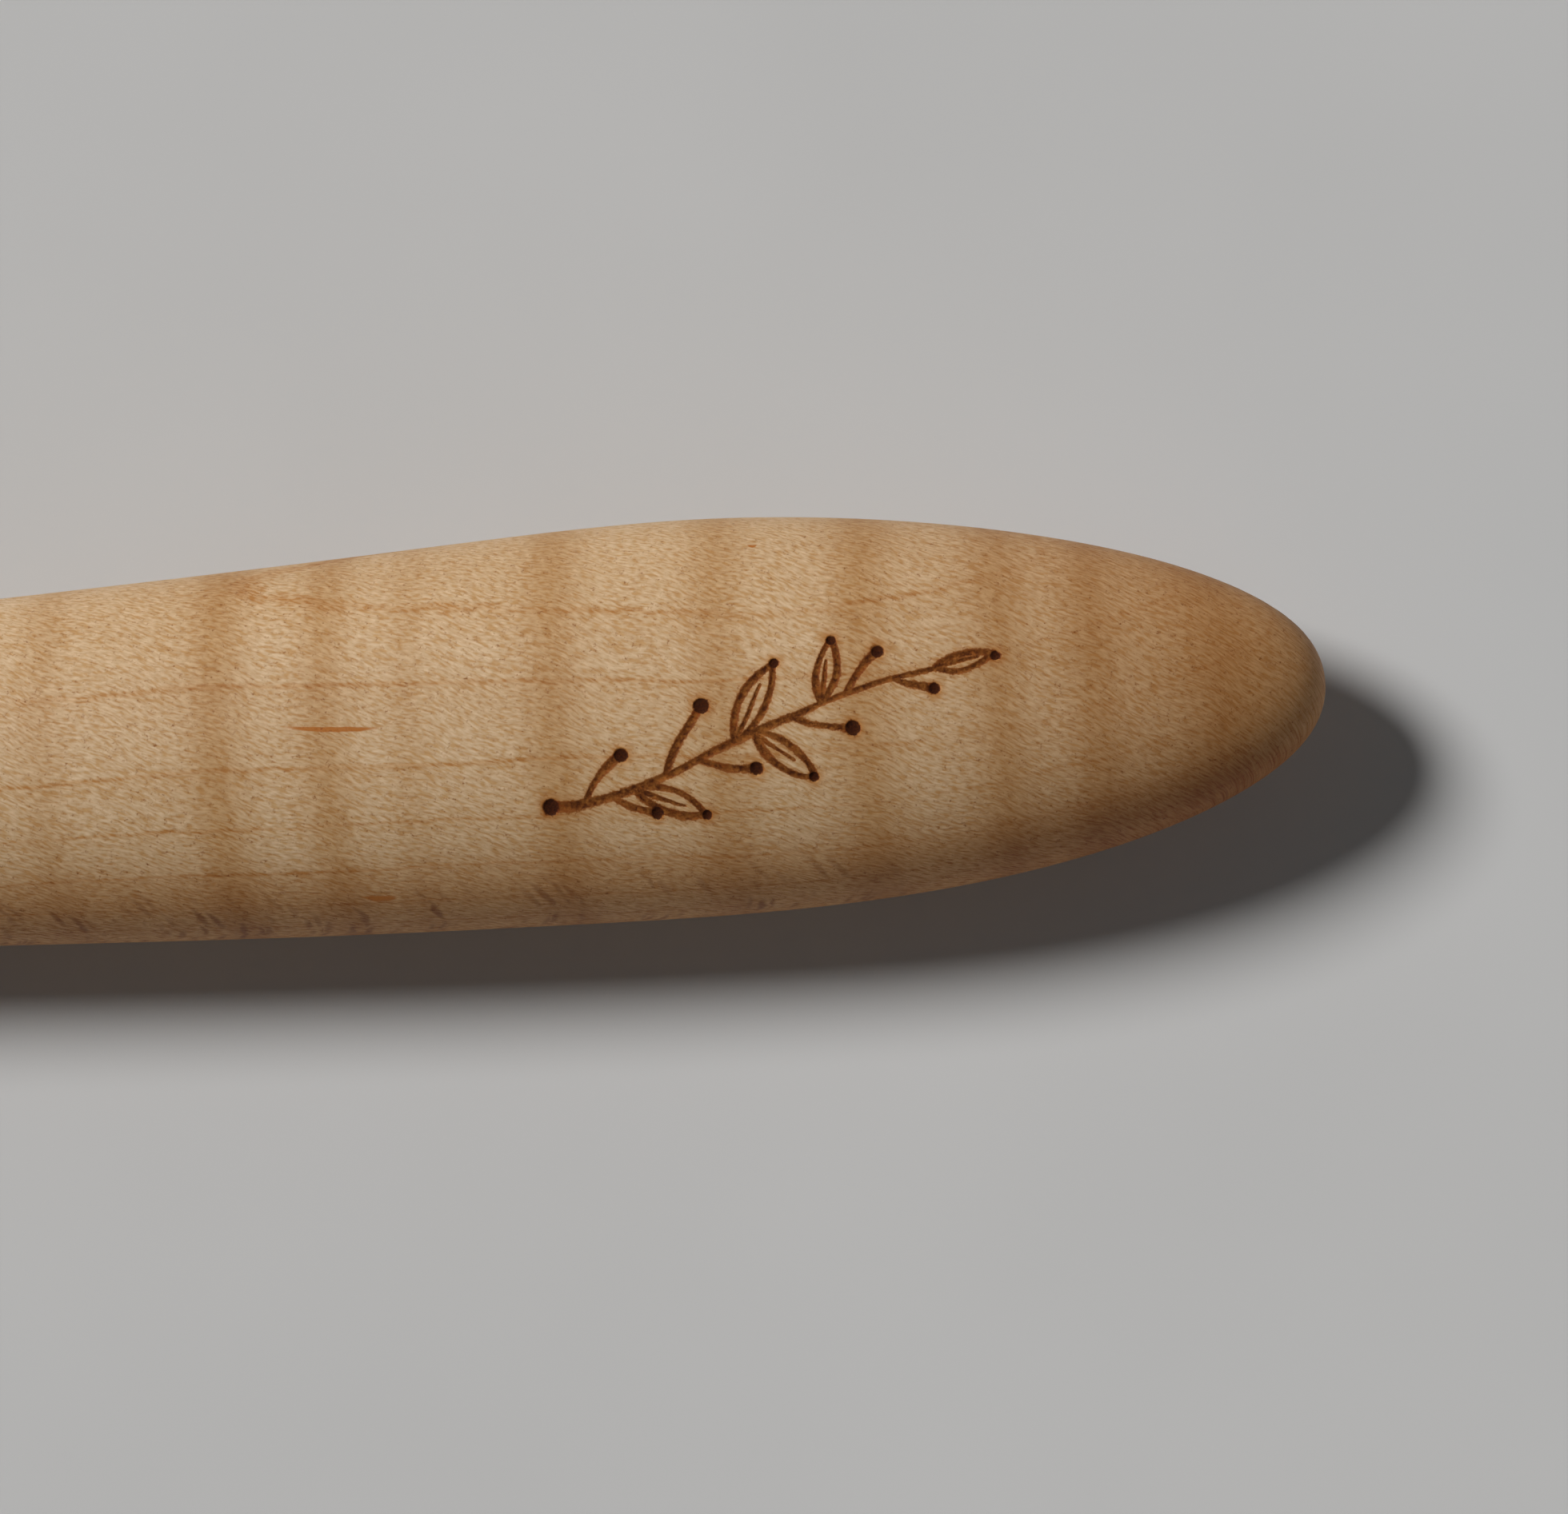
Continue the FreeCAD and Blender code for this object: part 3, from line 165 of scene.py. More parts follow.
SPRIG_AT = (BUTT - 34.0, AXIS_Y - 1.1)
STEM = ((-11.8, -3.9), (-5.0, -4.0), (2.0, 1.6), (11.2, 2.7))
LINE_HALF_WIDTH = 0.2
LINE_DEPTH = 0.06
DOT_DEPTH = 0.15
SCORCH_REACH = 0.7
# how far the brown of a line and the char of a dot spread, as multiples of their half-widths
BROWN_SPREAD = 1.45
CHAR_SPREAD = 1.12
CHAR_EDGE = 3.5
LINE_SCORCH, LINE_SCORCH_SPREAD = 0.55, 1.8
# each stroke's weight where it starts and where it ends
STEM_WEIGHT = (1.3, 0.75)
TWIG_WEIGHT = (0.8, 1.15)
LEAF_WEIGHT = (1.0, 0.85)
VEIN_WEIGHT = (0.8, 0.35)
STEM_DOT, LEAF_DOT = 0.48, 0.29
WOBBLE, WEIGHT_WOBBLE = 0.045, 0.13
# along the stem (0 to 1), length, angle off the stem in degrees, bend in degrees, dot radius
TWIGS = (
    (0.10, 3.4, 52, -24, 0.42),
    (0.17, 3.0, -46, 22, 0.36),
    (0.33, 4.6, 50, -20, 0.47),
    (0.42, 3.4, -48, 26, 0.40),
    (0.66, 3.9, -44, 18, 0.45),
    (0.80, 3.0, 46, -22, 0.38),
    (0.90, 2.6, -40, 20, 0.34),
)
# along the stem, length, angle off the stem in degrees, half-width
LEAVES = (
    (0.24, 4.4, -40, 0.75),
    (0.52, 5.0, 38, 0.85),
    (0.57, 4.2, -62, 0.70),
    (0.74, 3.6, 60, 0.62),
    (1.00, 3.4, 2, 0.55),
)


def stem_at(share):
    """The stem's point and direction at a share of its length."""
    ends = np.array(STEM, float)
    left = 1 - share
    point = (left**3 * ends[0] + 3 * left**2 * share * ends[1]
             + 3 * left * share**2 * ends[2] + share**3 * ends[3])
    leg = np.diff(ends, axis=0)
    direction = left**2 * leg[0] + 2 * left * share * leg[1] + share**2 * leg[2]
    return point, math.atan2(direction[1], direction[0])


def curve_from(start, heading, length, bend, steps=14):
    """A stroke that leaves start at a heading and turns steadily by bend radians."""
    points = [np.array(start, float)]
    for step in range(steps):
        turned = heading + bend * (step + 0.5) / steps
        points.append(points[-1] + np.array((math.cos(turned), math.sin(turned))) * length / steps)
    return np.array(points)


def unsteady(count, number, amount):
    """A smooth wobble along a hand-drawn line, different for each stroke's number."""
    share = np.linspace(0, 1, count) * count / 9
    waves = ((1.0, 1.7), (0.6, 3.1), (0.35, 6.3))
    return amount * sum(size * np.sin(rate * share + 2.4 * number * rate) for size, rate in waves)


def stroke(points, weight, number):
    """A hand-burned line's rows of (x, y, half-width), its weight changing from start to end."""
    count = len(points)
    wobble = np.column_stack([unsteady(count, number, WOBBLE), unsteady(count, number + 0.5, WOBBLE)])
    swelling = 1 + unsteady(count, number + 0.3, WEIGHT_WOBBLE)
    width = np.linspace(*weight, count) * LINE_HALF_WIDTH * swelling
    return np.column_stack([points + wobble - wobble[0], width])


def draw_sprig():
    """Every stroke as rows of (x, y, half-width), and every burned dot as (x, y, radius)."""
    stem = np.array([stem_at(share)[0] for share in np.linspace(0, 1, 60)])
    strokes = [stroke(stem, STEM_WEIGHT, 0)]
    dots = [(*stem[0], STEM_DOT)]
    for number, (share, length, angle, bend, radius) in enumerate(TWIGS, start=1):
        start, heading = stem_at(share)
        points = curve_from(start, heading + math.radians(angle), length, math.radians(bend))
        strokes.append(stroke(points, TWIG_WEIGHT, number))
        dots.append((*strokes[-1][-1, :2], radius))
    for number, (share, length, angle, half_width) in enumerate(LEAVES, start=20):
        start, heading = stem_at(share)
        heading += math.radians(angle)
        swing = 2 * math.atan(4 * half_width / length)
        for side in (1, -1):
            overshoot = 1.07 + 0.03 * side
            points = curve_from(start, heading + side * swing / 2, length * overshoot, -side * swing)
            strokes.append(stroke(points, LEAF_WEIGHT, number + side / 3))
        strokes.append(stroke(curve_from(start, heading, length * 0.7, 0.1), VEIN_WEIGHT, number))
        tip = start + np.array((math.cos(heading), math.sin(heading))) * length * 1.02
        dots.append((*tip, LEAF_DOT))
    return strokes, dots


SPRIG_STROKES, SPRIG_DOTS = draw_sprig()


def burn_fields(points):
    """How deep, how brown, how charred and how scorched the wood is at each point of its top."""
    plan = points[:, :2] - np.array(SPRIG_AT)
    line = np.full(len(plan), FAR)
    for rows in SPRIG_STROKES:
        for start, end in zip(rows, rows[1:]):
            leg = end[:2] - start[:2]
            along = np.clip(((plan - start[:2]) @ leg) / (leg @ leg), 0, 1)
            near = np.linalg.norm(plan - start[:2] - along[:, None] * leg, axis=1)
            width = start[2] + (end[2] - start[2]) * along
            line = np.minimum(line, near / width)
    dot, edge = np.full(len(plan), FAR), np.full(len(plan), FAR)
    for x, y, radius in SPRIG_DOTS:
        near = np.hypot(plan[:, 0] - x, plan[:, 1] - y)
        dot = np.minimum(dot, near / radius)
        edge = np.minimum(edge, near - radius)
    depth = LINE_DEPTH * np.clip(1 - line**2, 0, 1)
    depth = np.maximum(depth, DOT_DEPTH * np.sqrt(np.clip(1 - dot**2, 0, 1)))
    brown = np.clip(BROWN_SPREAD - line, 0, 1)
    char = np.clip((CHAR_SPREAD - dot) * CHAR_EDGE, 0, 1)
    scorch = np.clip(1 - edge / SCORCH_REACH, 0, 1) ** 2
    beside_line = np.clip(1 - (line - 1) / LINE_SCORCH_SPREAD, 0, 1)
    scorch = np.maximum(scorch, LINE_SCORCH * beside_line)
    off_top = points[:, 2] < AXIS_Z
    for field in (depth, brown, char, scorch):
        field[off_top] = 0
    return depth, brown, char, scorch


def sprig_distance(points):
    """Roughly how far each point is from the sprig's nearest stroke or dot."""
    spots = np.concatenate([rows[:, :2] for rows in SPRIG_STROKES] + [np.array(SPRIG_DOTS)[:, :2]])
    plan = points[:, :2] - np.array(SPRIG_AT)
    margin = 2.0
    inside = ((plan > spots.min(0) - margin) & (plan < spots.max(0) + margin)).all(1)
    close = np.nonzero(inside & (points[:, 2] > AXIS_Z))[0]
    nearest = np.full(len(plan), FAR)
    near = plan[close]
    best = np.full(len(close), FAR)
    for spot in spots:
        best = np.minimum(best, np.hypot(near[:, 0] - spot[0], near[:, 1] - spot[1]))
    nearest[close] = best
    return nearest


# ------------------------------------------------------------------ mesh work on CAD copies

def opened(node):
    """An editable copy of a CAD node's mesh in millimetres, its shared corners joined."""
    bm = bmesh.new()
    bm.from_mesh(frame["nodes"][node].data)
    bmesh.ops.scale(bm, vec=(1 / MM,) * 3, verts=bm.verts)
    bmesh.ops.remove_doubles(bm, verts=bm.verts, dist=WELD)
    for face in bm.faces:
        face.material_index = 0
    return bm


def corners(bm):
    return np.array([vertex.co for vertex in bm.verts], float).reshape(-1, 3)


def arrays(bm):
    """An edited mesh's corners, its edges' two corners, and how many marked faces each edge has."""
    mesh = bpy.data.meshes.new("working")
    bm.to_mesh(mesh)
    points = np.empty(len(mesh.vertices) * 3)
    edges = np.empty(len(mesh.edges) * 2, int)
    loop_edges = np.empty(len(mesh.loops), int)
    marked = np.empty(len(mesh.polygons), int)
    sides = np.empty(len(mesh.polygons), int)
    mesh.vertices.foreach_get("co", points)
    mesh.edges.foreach_get("vertices", edges)
    mesh.loops.foreach_get("edge_index", loop_edges)
    mesh.polygons.foreach_get("material_index", marked)
    mesh.polygons.foreach_get("loop_total", sides)
    bpy.data.meshes.remove(mesh)
    marks = np.bincount(loop_edges, weights=np.repeat(marked, sides), minlength=len(edges) // 2)
    return points.reshape(-1, 3), edges.reshape(-1, 2), marks


def refine(bm, too_long, lift, rounds, tidy=False):
    """Halve the marked faces' edges that are too long, lifting each new corner onto the surface."""
    for _ in range(rounds):
        points, edges, marks = arrays(bm)
        chosen = np.nonzero(marks)[0]
        chosen = chosen[too_long(points[edges[chosen]])]
        if not len(chosen):
            return
        bm.edges.ensure_lookup_table()
        halved = [bm.edges[index] for index in chosen]
        for edge, spot in zip(halved, lift(points[edges[chosen]])):
            corner = bmesh.utils.edge_split(edge, edge.verts[0], 0.5)[1]
            corner.co = spot
        many_sided = [face for face in bm.faces if len(face.verts) > 3]
        bmesh.ops.triangulate(bm, faces=many_sided, ngon_method="BEAUTY")
        if tidy:
            inner = np.nonzero(arrays(bm)[2] == 2)[0]
            bm.edges.ensure_lookup_table()
            bmesh.ops.beautify_fill(bm, faces=[face for face in bm.faces if face.material_index],
                                    edges=[bm.edges[index] for index in inner], method="ANGLE")


def finished(bm, name, node, material, sharp_angle=30.0, attributes=None):
    """The edited copy as a piece that stands for its CAD node and rides on the node's body."""
    for face in bm.faces:
        face.smooth = True
    for edge in bm.edges:
        edge.smooth = not edge.is_manifold or edge.calc_face_angle(0) < math.radians(sharp_angle)
    mesh = bpy.data.meshes.new(name)
    bmesh.ops.scale(bm, vec=(MM,) * 3, verts=bm.verts)
    bm.to_mesh(mesh)
    bm.free()
    for label, values in (attributes or {}).items():
        field = mesh.attributes.new(label, "FLOAT", "POINT")
        field.data.foreach_set("value", values.astype(np.float32))
    mesh.materials.append(material)
    piece = bpy.data.objects.new(name, mesh)
    bpy.context.scene.collection.objects.link(piece)
    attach(piece, frame["nodes"][node]["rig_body"])
    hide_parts(node)
    return piece


def wooden(name, node, material, coarse, carved=False):
    """A copy whose carved outer faces are divided finely and laid on the true surface."""
    bm = opened(node)
    points = corners(bm)
    tolerance = np.where(BUTT - points[:, 0] < NOSE_LENGTH, NOSE_TOLERANCE, SKIN_TOLERANCE)
    on_skin = skin_distance(points) < tolerance
    for vertex, outer, spot in zip(bm.verts, on_skin, onto_skin(points)):
        vertex.tag = bool(outer)
        if outer:
            vertex.co = spot
    above_flat = points[:, 2] > cad_low.z / MM + RIM_TOLERANCE
    bm.verts.index_update()
    for face in bm.faces:
        # a face with every corner on the flat's rim belongs to the flat, not to the carved surface
        on_surface = all(vertex.tag for vertex in face.verts)
        face.material_index = int(on_surface and any(above_flat[vertex.index] for vertex in face.verts))

    def too_long(ends):
        length = np.linalg.norm(ends[:, 0] - ends[:, 1], axis=1)
        long_ones = length > coarse
        if carved:
            unsure = np.nonzero(~long_ones & (length > FINEST))[0]
            away = np.maximum(0, sprig_distance(ends[unsure].mean(1)) - 0.5)
            long_ones[unsure] = length[unsure] > FINEST + EDGE_GROWTH * away
        return long_ones

    refine(bm, too_long, lambda ends: onto_skin(ends.mean(1)), 12, tidy=True)
    # corners that coincide are joined, and the slivers that then hang on a shared edge are dropped
    bmesh.ops.remove_doubles(bm, verts=bm.verts, dist=WELD)
    slivers = [face for face in bm.faces
               if any(len(edge.link_faces) > 2 for edge in face.edges)
               and face.calc_area() < SLIVER_AREA]
    bmesh.ops.delete(bm, geom=slivers, context="FACES")
    points = corners(bm)
    bm.verts.index_update()
    skin = sorted({vertex.index for face in bm.faces if face.material_index for vertex in face.verts})
    attributes = {}
    if carved:
        fields = [np.zeros(len(points)) for _ in range(4)]
        for field, values in zip(fields, burn_fields(points[skin])):
            field[skin] = values
        slope = skin_slope(points)
        sunk = points - slope / np.linalg.norm(slope, axis=1, keepdims=True) * fields[0][:, None]
        bm.verts.ensure_lookup_table()
        for index in skin:
            bm.verts[index].co = sunk[index]
        attributes = dict(zip(("brown", "char", "scorch"), fields[1:]))
    for face in bm.faces:
        face.material_index = 0
    return finished(bm, name, node, material, attributes=attributes)


def turned(name, node, material, axis="x"):
    """A copy of a turned piece whose facets are divided until they read as round."""
    bm = opened(node)
    low, high = box_mm(node)
    if axis == "x":
        along, across, centre = 0, [1, 2], np.array((AXIS_Y, AXIS_Z))
    else:
        along, across, centre = 2, [0, 1], np.array(((low.x + high.x) / 2, (low.y + high.y) / 2))

    def is_round(face):
        middle = np.array(face.calc_center_median())[across] - centre
        radius = np.linalg.norm(middle)
        if radius < 0.05:
            return False
        outward = middle / radius
        normal = np.array(face.normal)[across]
        sideways = normal[1] * outward[0] - normal[0] * outward[1]
        return abs(normal @ outward) > 0.15 and abs(sideways) < 0.12

    def polar(ends):
        flat = ends[:, :, across] - centre
        angle = np.arctan2(flat[:, :, 1], flat[:, :, 0])
        turn = (angle[:, 1] - angle[:, 0] + math.pi) % (2 * math.pi) - math.pi
        return np.linalg.norm(flat, axis=2), angle[:, 0], turn

    def too_wide(ends):
        radius, _, turn = polar(ends)
        return (np.abs(turn) > FACET) & (radius.min(1) > 0.15)

    def swung(ends):
        radius, start, turn = polar(ends)
        middle = ends.mean(1)
        angle = start + turn / 2
        ring = np.column_stack([np.cos(angle), np.sin(angle)]) * radius.mean(1)[:, None]
        middle[:, across] = centre + ring
        return middle

    for face in bm.faces:
        face.material_index = int(is_round(face))
    refine(bm, too_wide, swung, 4)
    for face in bm.faces:
        face.material_index = 0
    bmesh.ops.dissolve_limit(bm, angle_limit=FLAT, verts=bm.verts, edges=bm.edges)
    return finished(bm, name, node, material)


# ------------------------------------------------------------------ materials

class Nodes:
    """Builds one material's nodes; each method returns the socket that holds its result."""

    def __init__(self, name):
        self.material = bpy.data.materials.new(name)
        self.material.use_nodes = True
        self.tree = self.material.node_tree
        self.shader = self.tree.nodes["Principled BSDF"]

    def put(self, socket, value):
        if isinstance(value, bpy.types.NodeSocket):
            self.tree.links.new(value, socket)
        else:
            socket.default_value = value

    def add(self, kind, inputs=(), **settings):
        node = self.tree.nodes.new(kind)
        for name, value in settings.items():
            setattr(node, name, value)
        for key, value in dict(inputs).items():
            self.put(node.inputs[key], value)
        return node

    def set(self, **values):
        """Set the shader's own sockets, their spaces written as underscores."""
        for name, value in values.items():
            self.put(self.shader.inputs[name.replace("_", " ")], value)
        return self.material

    def math(self, operation, *values, clamp=False):
        node = self.add("ShaderNodeMath", dict(enumerate(values)), operation=operation, use_clamp=clamp)
        return node.outputs[0]

    def plus(self, *values):
        total = values[0]
        for value in values[1:]:
            total = self.math("ADD", total, value)
        return total

    def times(self, *values):
        total = values[0]
        for value in values[1:]:
            total = self.math("MULTIPLY", total, value)
        return total

    def minus(self, first, second):
        return self.math("SUBTRACT", first, second)

    def step(self, value, start, end, low=0.0, high=1.0):
        """Smoothly from low to high as value goes from start to end."""
        node = self.add("ShaderNodeMapRange", {0: value, 1: start, 2: end, 3: low, 4: high},
                        interpolation_type="SMOOTHSTEP")
        return node.outputs[0]

    def place(self):
        """X, Y and Z in millimetres, in the frame at rest."""
        coordinates = self.add("ShaderNodeTexCoord").outputs["Object"]
        split = self.add("ShaderNodeSeparateXYZ", {0: coordinates})
        return [self.times(socket, 1 / MM) for socket in split.outputs]

    def join(self, x, y, z):
        return self.add("ShaderNodeCombineXYZ", {0: x, 1: y, 2: z}).outputs[0]

    def lumps(self, x, y, z, size, detail=2.0, roughness=0.5):
        """Soft noise from 0 to 1 whose lumps are one over size across, each way alike."""
        return self.noise(self.join(self.times(x, size), self.times(y, size), self.times(z, size)),
                          detail, roughness)

    def noise(self, vector, detail=2.0, roughness=0.5):
        """Soft noise from 0 to 1, one lump to a unit of the vector."""
        node = self.add("ShaderNodeTexNoise",
                        {"Vector": vector, "Scale": 1.0, "Detail": detail, "Roughness": roughness})
        return node.outputs[0]

    def vector(self, operation, *values):
        return self.add("ShaderNodeVectorMath", dict(enumerate(values)), operation=operation).outputs

    def dashes(self, place, pitch, reach):
        """Scattered dashes: pitch is a cell's size each way, reach each dash's half-size in cells."""
        scaled = self.join(*(self.times(way, 1 / size) for way, size in zip(place, pitch)))
        cell = self.add("ShaderNodeTexVoronoi", {"Vector": scaled, "Scale": 1.0, "Randomness": 0.85})
        off = self.vector("SUBTRACT", scaled, cell.outputs["Position"])[0]
        shrunk = self.vector("MULTIPLY", off, tuple(1 / half for half in reach))[0]
        away = self.vector("LENGTH", shrunk)["Value"]
        return self.step(away, 1.05, 0.35)

    def ramp(self, value, stops, interpolation="LINEAR"):
        """A colour for each value from 0 to 1; stops are (position, colour or grey)."""
        stops = tuple(stops)
        node = self.add("ShaderNodeValToRGB", {0: value})
        node.color_ramp.interpolation = interpolation
        elements = node.color_ramp.elements
        while len(elements) < len(stops):
            elements.new(0.5)
        for element, (position, colour) in zip(elements, stops):
            element.position = position
            shade = colour if isinstance(colour, tuple) else (colour,) * 3
            element.color = (*shade, 1)
        return node.outputs[0]

    def mix(self, share, first, second, blend="MIX"):
        node = self.add("ShaderNodeMix", data_type="RGBA", blend_type=blend)
        self.put(node.inputs[0], share)
        for socket, value in ((node.inputs[6], first), (node.inputs[7], second)):
            self.put(socket, (*value, 1) if isinstance(value, tuple) else value)
        return node.outputs[2]

    def bump(self, height, depth, strength=1.0):
        """The shading normal over a height from 0 to 1 that stands for depth millimetres."""
        node = self.add("ShaderNodeBump",
                        {"Strength": strength, "Distance": depth * MM, "Height": height})
        return node.outputs["Normal"]

    def attribute(self, name):
        return self.add("ShaderNodeAttribute", attribute_name=name).outputs["Fac"]


# the tree that the handle was carved from
PITH_Y, PITH_Z = AXIS_Y - 9.0, AXIS_Z - 8.3
RING_LEAN = -0.03
RING_ARC = 0.00063
RING_START, RING_WIDTH = 16.7, 1.9
WIDE_RING_AT, WIDE_RING_SHIFT = 20.7, 0.13
CURL_LENGTH = 6.5
# the dark bands of the curly figure: station, half-width and strength of each
CURLS = (
    (6.4, 1.9, 0.5), (13.8, 1.5, 0.85), (19.2, 1.6, 0.9), (27.2, 1.8, 1.0), (35.6, 1.6, 0.85),
    (45.4, 1.7, 0.95), (54.0, 1.0, 0.4), (58.9, 1.5, 0.9), (65.3, 1.6, 1.0), (75.8, 1.3, 0.5),
    (81.5, 1.3, 0.7), (88.0, 1.8, 0.9), (94.6, 1.3, 0.6), (101.0, 1.7, 0.9), (109.4, 1.6, 0.8),
    (116.0, 1.4, 0.7), (122.5, 1.5, 0.6),
)
# the kinds of medullary ray: a cell's size along, around and out from the pith, each dash's
# half-size in cells, and how far round the pattern is shifted
DARK_RAYS = ((0.78, 0.26, 6.0), (0.52, 0.31, 0.66), 0.0)
FINE_RAYS = ((0.50, 0.165, 5.0), (0.54, 0.34, 0.66), 7.3)
PALE_RAYS = ((0.66, 0.22, 5.0), (0.54, 0.33, 0.66), 3.1)
FLAKES = ((0.95, 3.0, 1.0), (0.34, 0.42, 1.0))
# the bare wood's two tones, and what each layer multiplies them by
MAPLE_TONES = ((0.635, 0.425, 0.235), (0.70, 0.49, 0.29))
BAND_TINT = (0.82, 0.71, 0.56)
LATEWOOD_TINT = (0.90, 0.80, 0.66)
RING_LINE_TINT = (0.82, 0.62, 0.38)
DARK_WEAVE_TINT = (0.88, 0.75, 0.56)
PALE_WEAVE_TINT = (1.12, 1.16, 1.23)
PALE_RAY_TINT = (1.10, 1.12, 1.15)
DARK_RAY_TINT = (0.74, 0.57, 0.39)
FINE_RAY_TINT = (0.78, 0.63, 0.45)
BROADSIDE_TINT = (0.86, 0.74, 0.58)
# painted shade: the faces turned towards -Y are multiplied by this, darker and browner, standing for
# the shade along the lower edge
PAINTED_SHADE_TINT = (0.84, 0.70, 0.54)
FLAKE_TINT = (0.50, 0.33, 0.19)
END_GRAIN_TINT = (0.74, 0.56, 0.38)
FLECK_COLOUR = (0.46, 0.15, 0.02)
# burned wood: what scorching and browning multiply the maple by, then the colours of line and dot
SCORCH_TINT = (0.80, 0.53, 0.24)
BROWN_TINT = (0.55, 0.32, 0.13)
LINE_TONES = ((0.32, (0.055, 0.010, 0.001)), (0.5, (0.15, 0.040, 0.005)), (0.68, (0.29, 0.10, 0.018)))
DOT_TONES = ((0.3, (0.020, 0.003, 0.0005)), (0.75, (0.075, 0.015, 0.001)))
# reddish pith flecks: station, Y off the axis, half-length and half-width of each
PITH_FLECKS = ((58.3, 0.35, 2.9, 0.18), (56.7, -9.5, 1.1, 0.17), (33.3, 9.85, 0.3, 0.1))


def figured_maple(name, burned):
    """Oiled maple cut from one tree, with painted shade on the faces turned towards -Y; where it is
    burned, the sprig's fields colour it too.
    """
    n = Nodes(name)
    x, y, z = n.place()
    station = n.minus(BUTT, x)
    slow = n.noise(n.join(n.times(x, 0.05), n.times(y, 0.12), n.times(z, 0.12)), 2)
    quick = n.noise(n.join(n.times(x, 0.55), n.times(y, 0.9), n.times(z, 0.9)), 3, 0.6)
    aside, above = n.minus(y, PITH_Y), n.minus(z, PITH_Z)
    radius = n.math("SQRT", n.plus(n.times(aside, aside), n.times(above, above)))
    angle = n.math("ARCTAN2", above, aside)
    normal = n.add("ShaderNodeTexCoord").outputs["Normal"]
    facing = n.add("ShaderNodeSeparateXYZ", {0: normal}).outputs
    tangent = n.minus(n.times(facing[2], n.math("COSINE", angle)),
                      n.times(facing[1], n.math("SINE", angle)))
    clear_of_pith = n.step(radius, 2.0, 6.5)
    broadside = n.times(n.step(n.math("ABSOLUTE", tangent), 0.6, 0.95), clear_of_pith)
    end_grain = n.step(n.math("ABSOLUTE", facing[0]), 0.0, 0.38)
    # painted shade: a mask over the faces that turn towards -Y, away from the key light
    painted_shade_side = n.step(facing[1], -0.45, -0.8)
    rolled_edge = n.step(facing[1], -0.62, -0.85)

    def tinted(share, colour, tint):
        return n.mix(share, colour, n.mix(1.0, colour, tint, "MULTIPLY"))

    # growth rings about the pith, leaning and curving along the handle
    past_swell = n.minus(station, SWELL_AT)
    lean = n.plus(n.times(past_swell, RING_LEAN), n.times(past_swell, past_swell, RING_ARC))
    wander = n.plus(n.times(n.minus(slow, 0.5), 0.55), n.times(n.minus(quick, 0.5), 0.3))
    ring_radius = n.plus(radius, lean, wander)
    off_wide = n.minus(ring_radius, WIDE_RING_AT)
    widening = n.times(n.math("EXPONENT", n.times(off_wide, off_wide, -1.0)), WIDE_RING_SHIFT)
    rings = n.minus(n.times(n.minus(ring_radius, RING_START), 1 / RING_WIDTH), widening)
    within = n.math("FRACT", rings)
    off_line = n.math("MINIMUM", within, n.minus(1.0, within))
    line = n.times(n.step(off_line, 0.055, 0.01), clear_of_pith)
    latewood = n.step(within, 0.6, 1.0)
    patchy = n.noise(n.join(n.times(x, 0.09), n.times(angle, 3.0), radius), 2)
    fading = n.times(n.step(patchy, 0.3, 0.62, 0.35, 1), n.step(station, 12.0, 34.0, 0.45, 1))

    # the curl: the grain swings from side to side along the handle
    swing = n.math("SINE", n.plus(n.times(x, 2 * math.pi / CURL_LENGTH), n.times(slow, 9.0)))
    around = n.plus(n.times(angle, RING_START), n.times(x, -0.31),
                    n.times(swing, 0.12), n.times(quick, 0.25))

    # medullary rays: thin ribbons that run out from the pith, cut end-on or broadside
    ray, fine_ray, pale_ray = (
        n.times(n.dashes((x, n.plus(around, shift), radius), pitch, reach), clear_of_pith)
        for pitch, reach, shift in (DARK_RAYS, FINE_RAYS, PALE_RAYS)
    )
    weave = n.noise(n.join(n.times(x, 2.0), n.times(around, 7.6), n.times(radius, 0.3)), 1)
    dark_weave = n.times(n.step(weave, 0.53, 0.32), clear_of_pith)
    pale_weave = n.times(n.step(weave, 0.50, 0.70), clear_of_pith)
    up_edge = n.minus(z, AXIS_Z + 3.0)
    bowed = n.plus(x, n.times(up_edge, up_edge, 0.16), n.times(quick, 0.9))
    flake = n.dashes((bowed, z, 0.0), *FLAKES)
    clustered = n.step(n.noise(n.join(n.times(x, 0.3), 0.0, n.times(z, 0.15)), 1), 0.4, 0.62)
    flake_share = n.times(flake, clustered, rolled_edge, n.step(station, 22.0, 32.0))

    drift = n.noise(n.join(n.times(x, 0.1), n.times(y, 0.13), n.times(z, 0.13)), 2)
    curl_station = n.plus(station, n.times(n.minus(drift, 0.5), 1.2))
    bands = 0.0
    for at, half_width, strength in CURLS:
        off = n.times(n.minus(curl_station, at), 1 / half_width)
        bands = n.plus(bands, n.times(n.math("EXPONENT", n.times(off, off, -1.0)), strength))

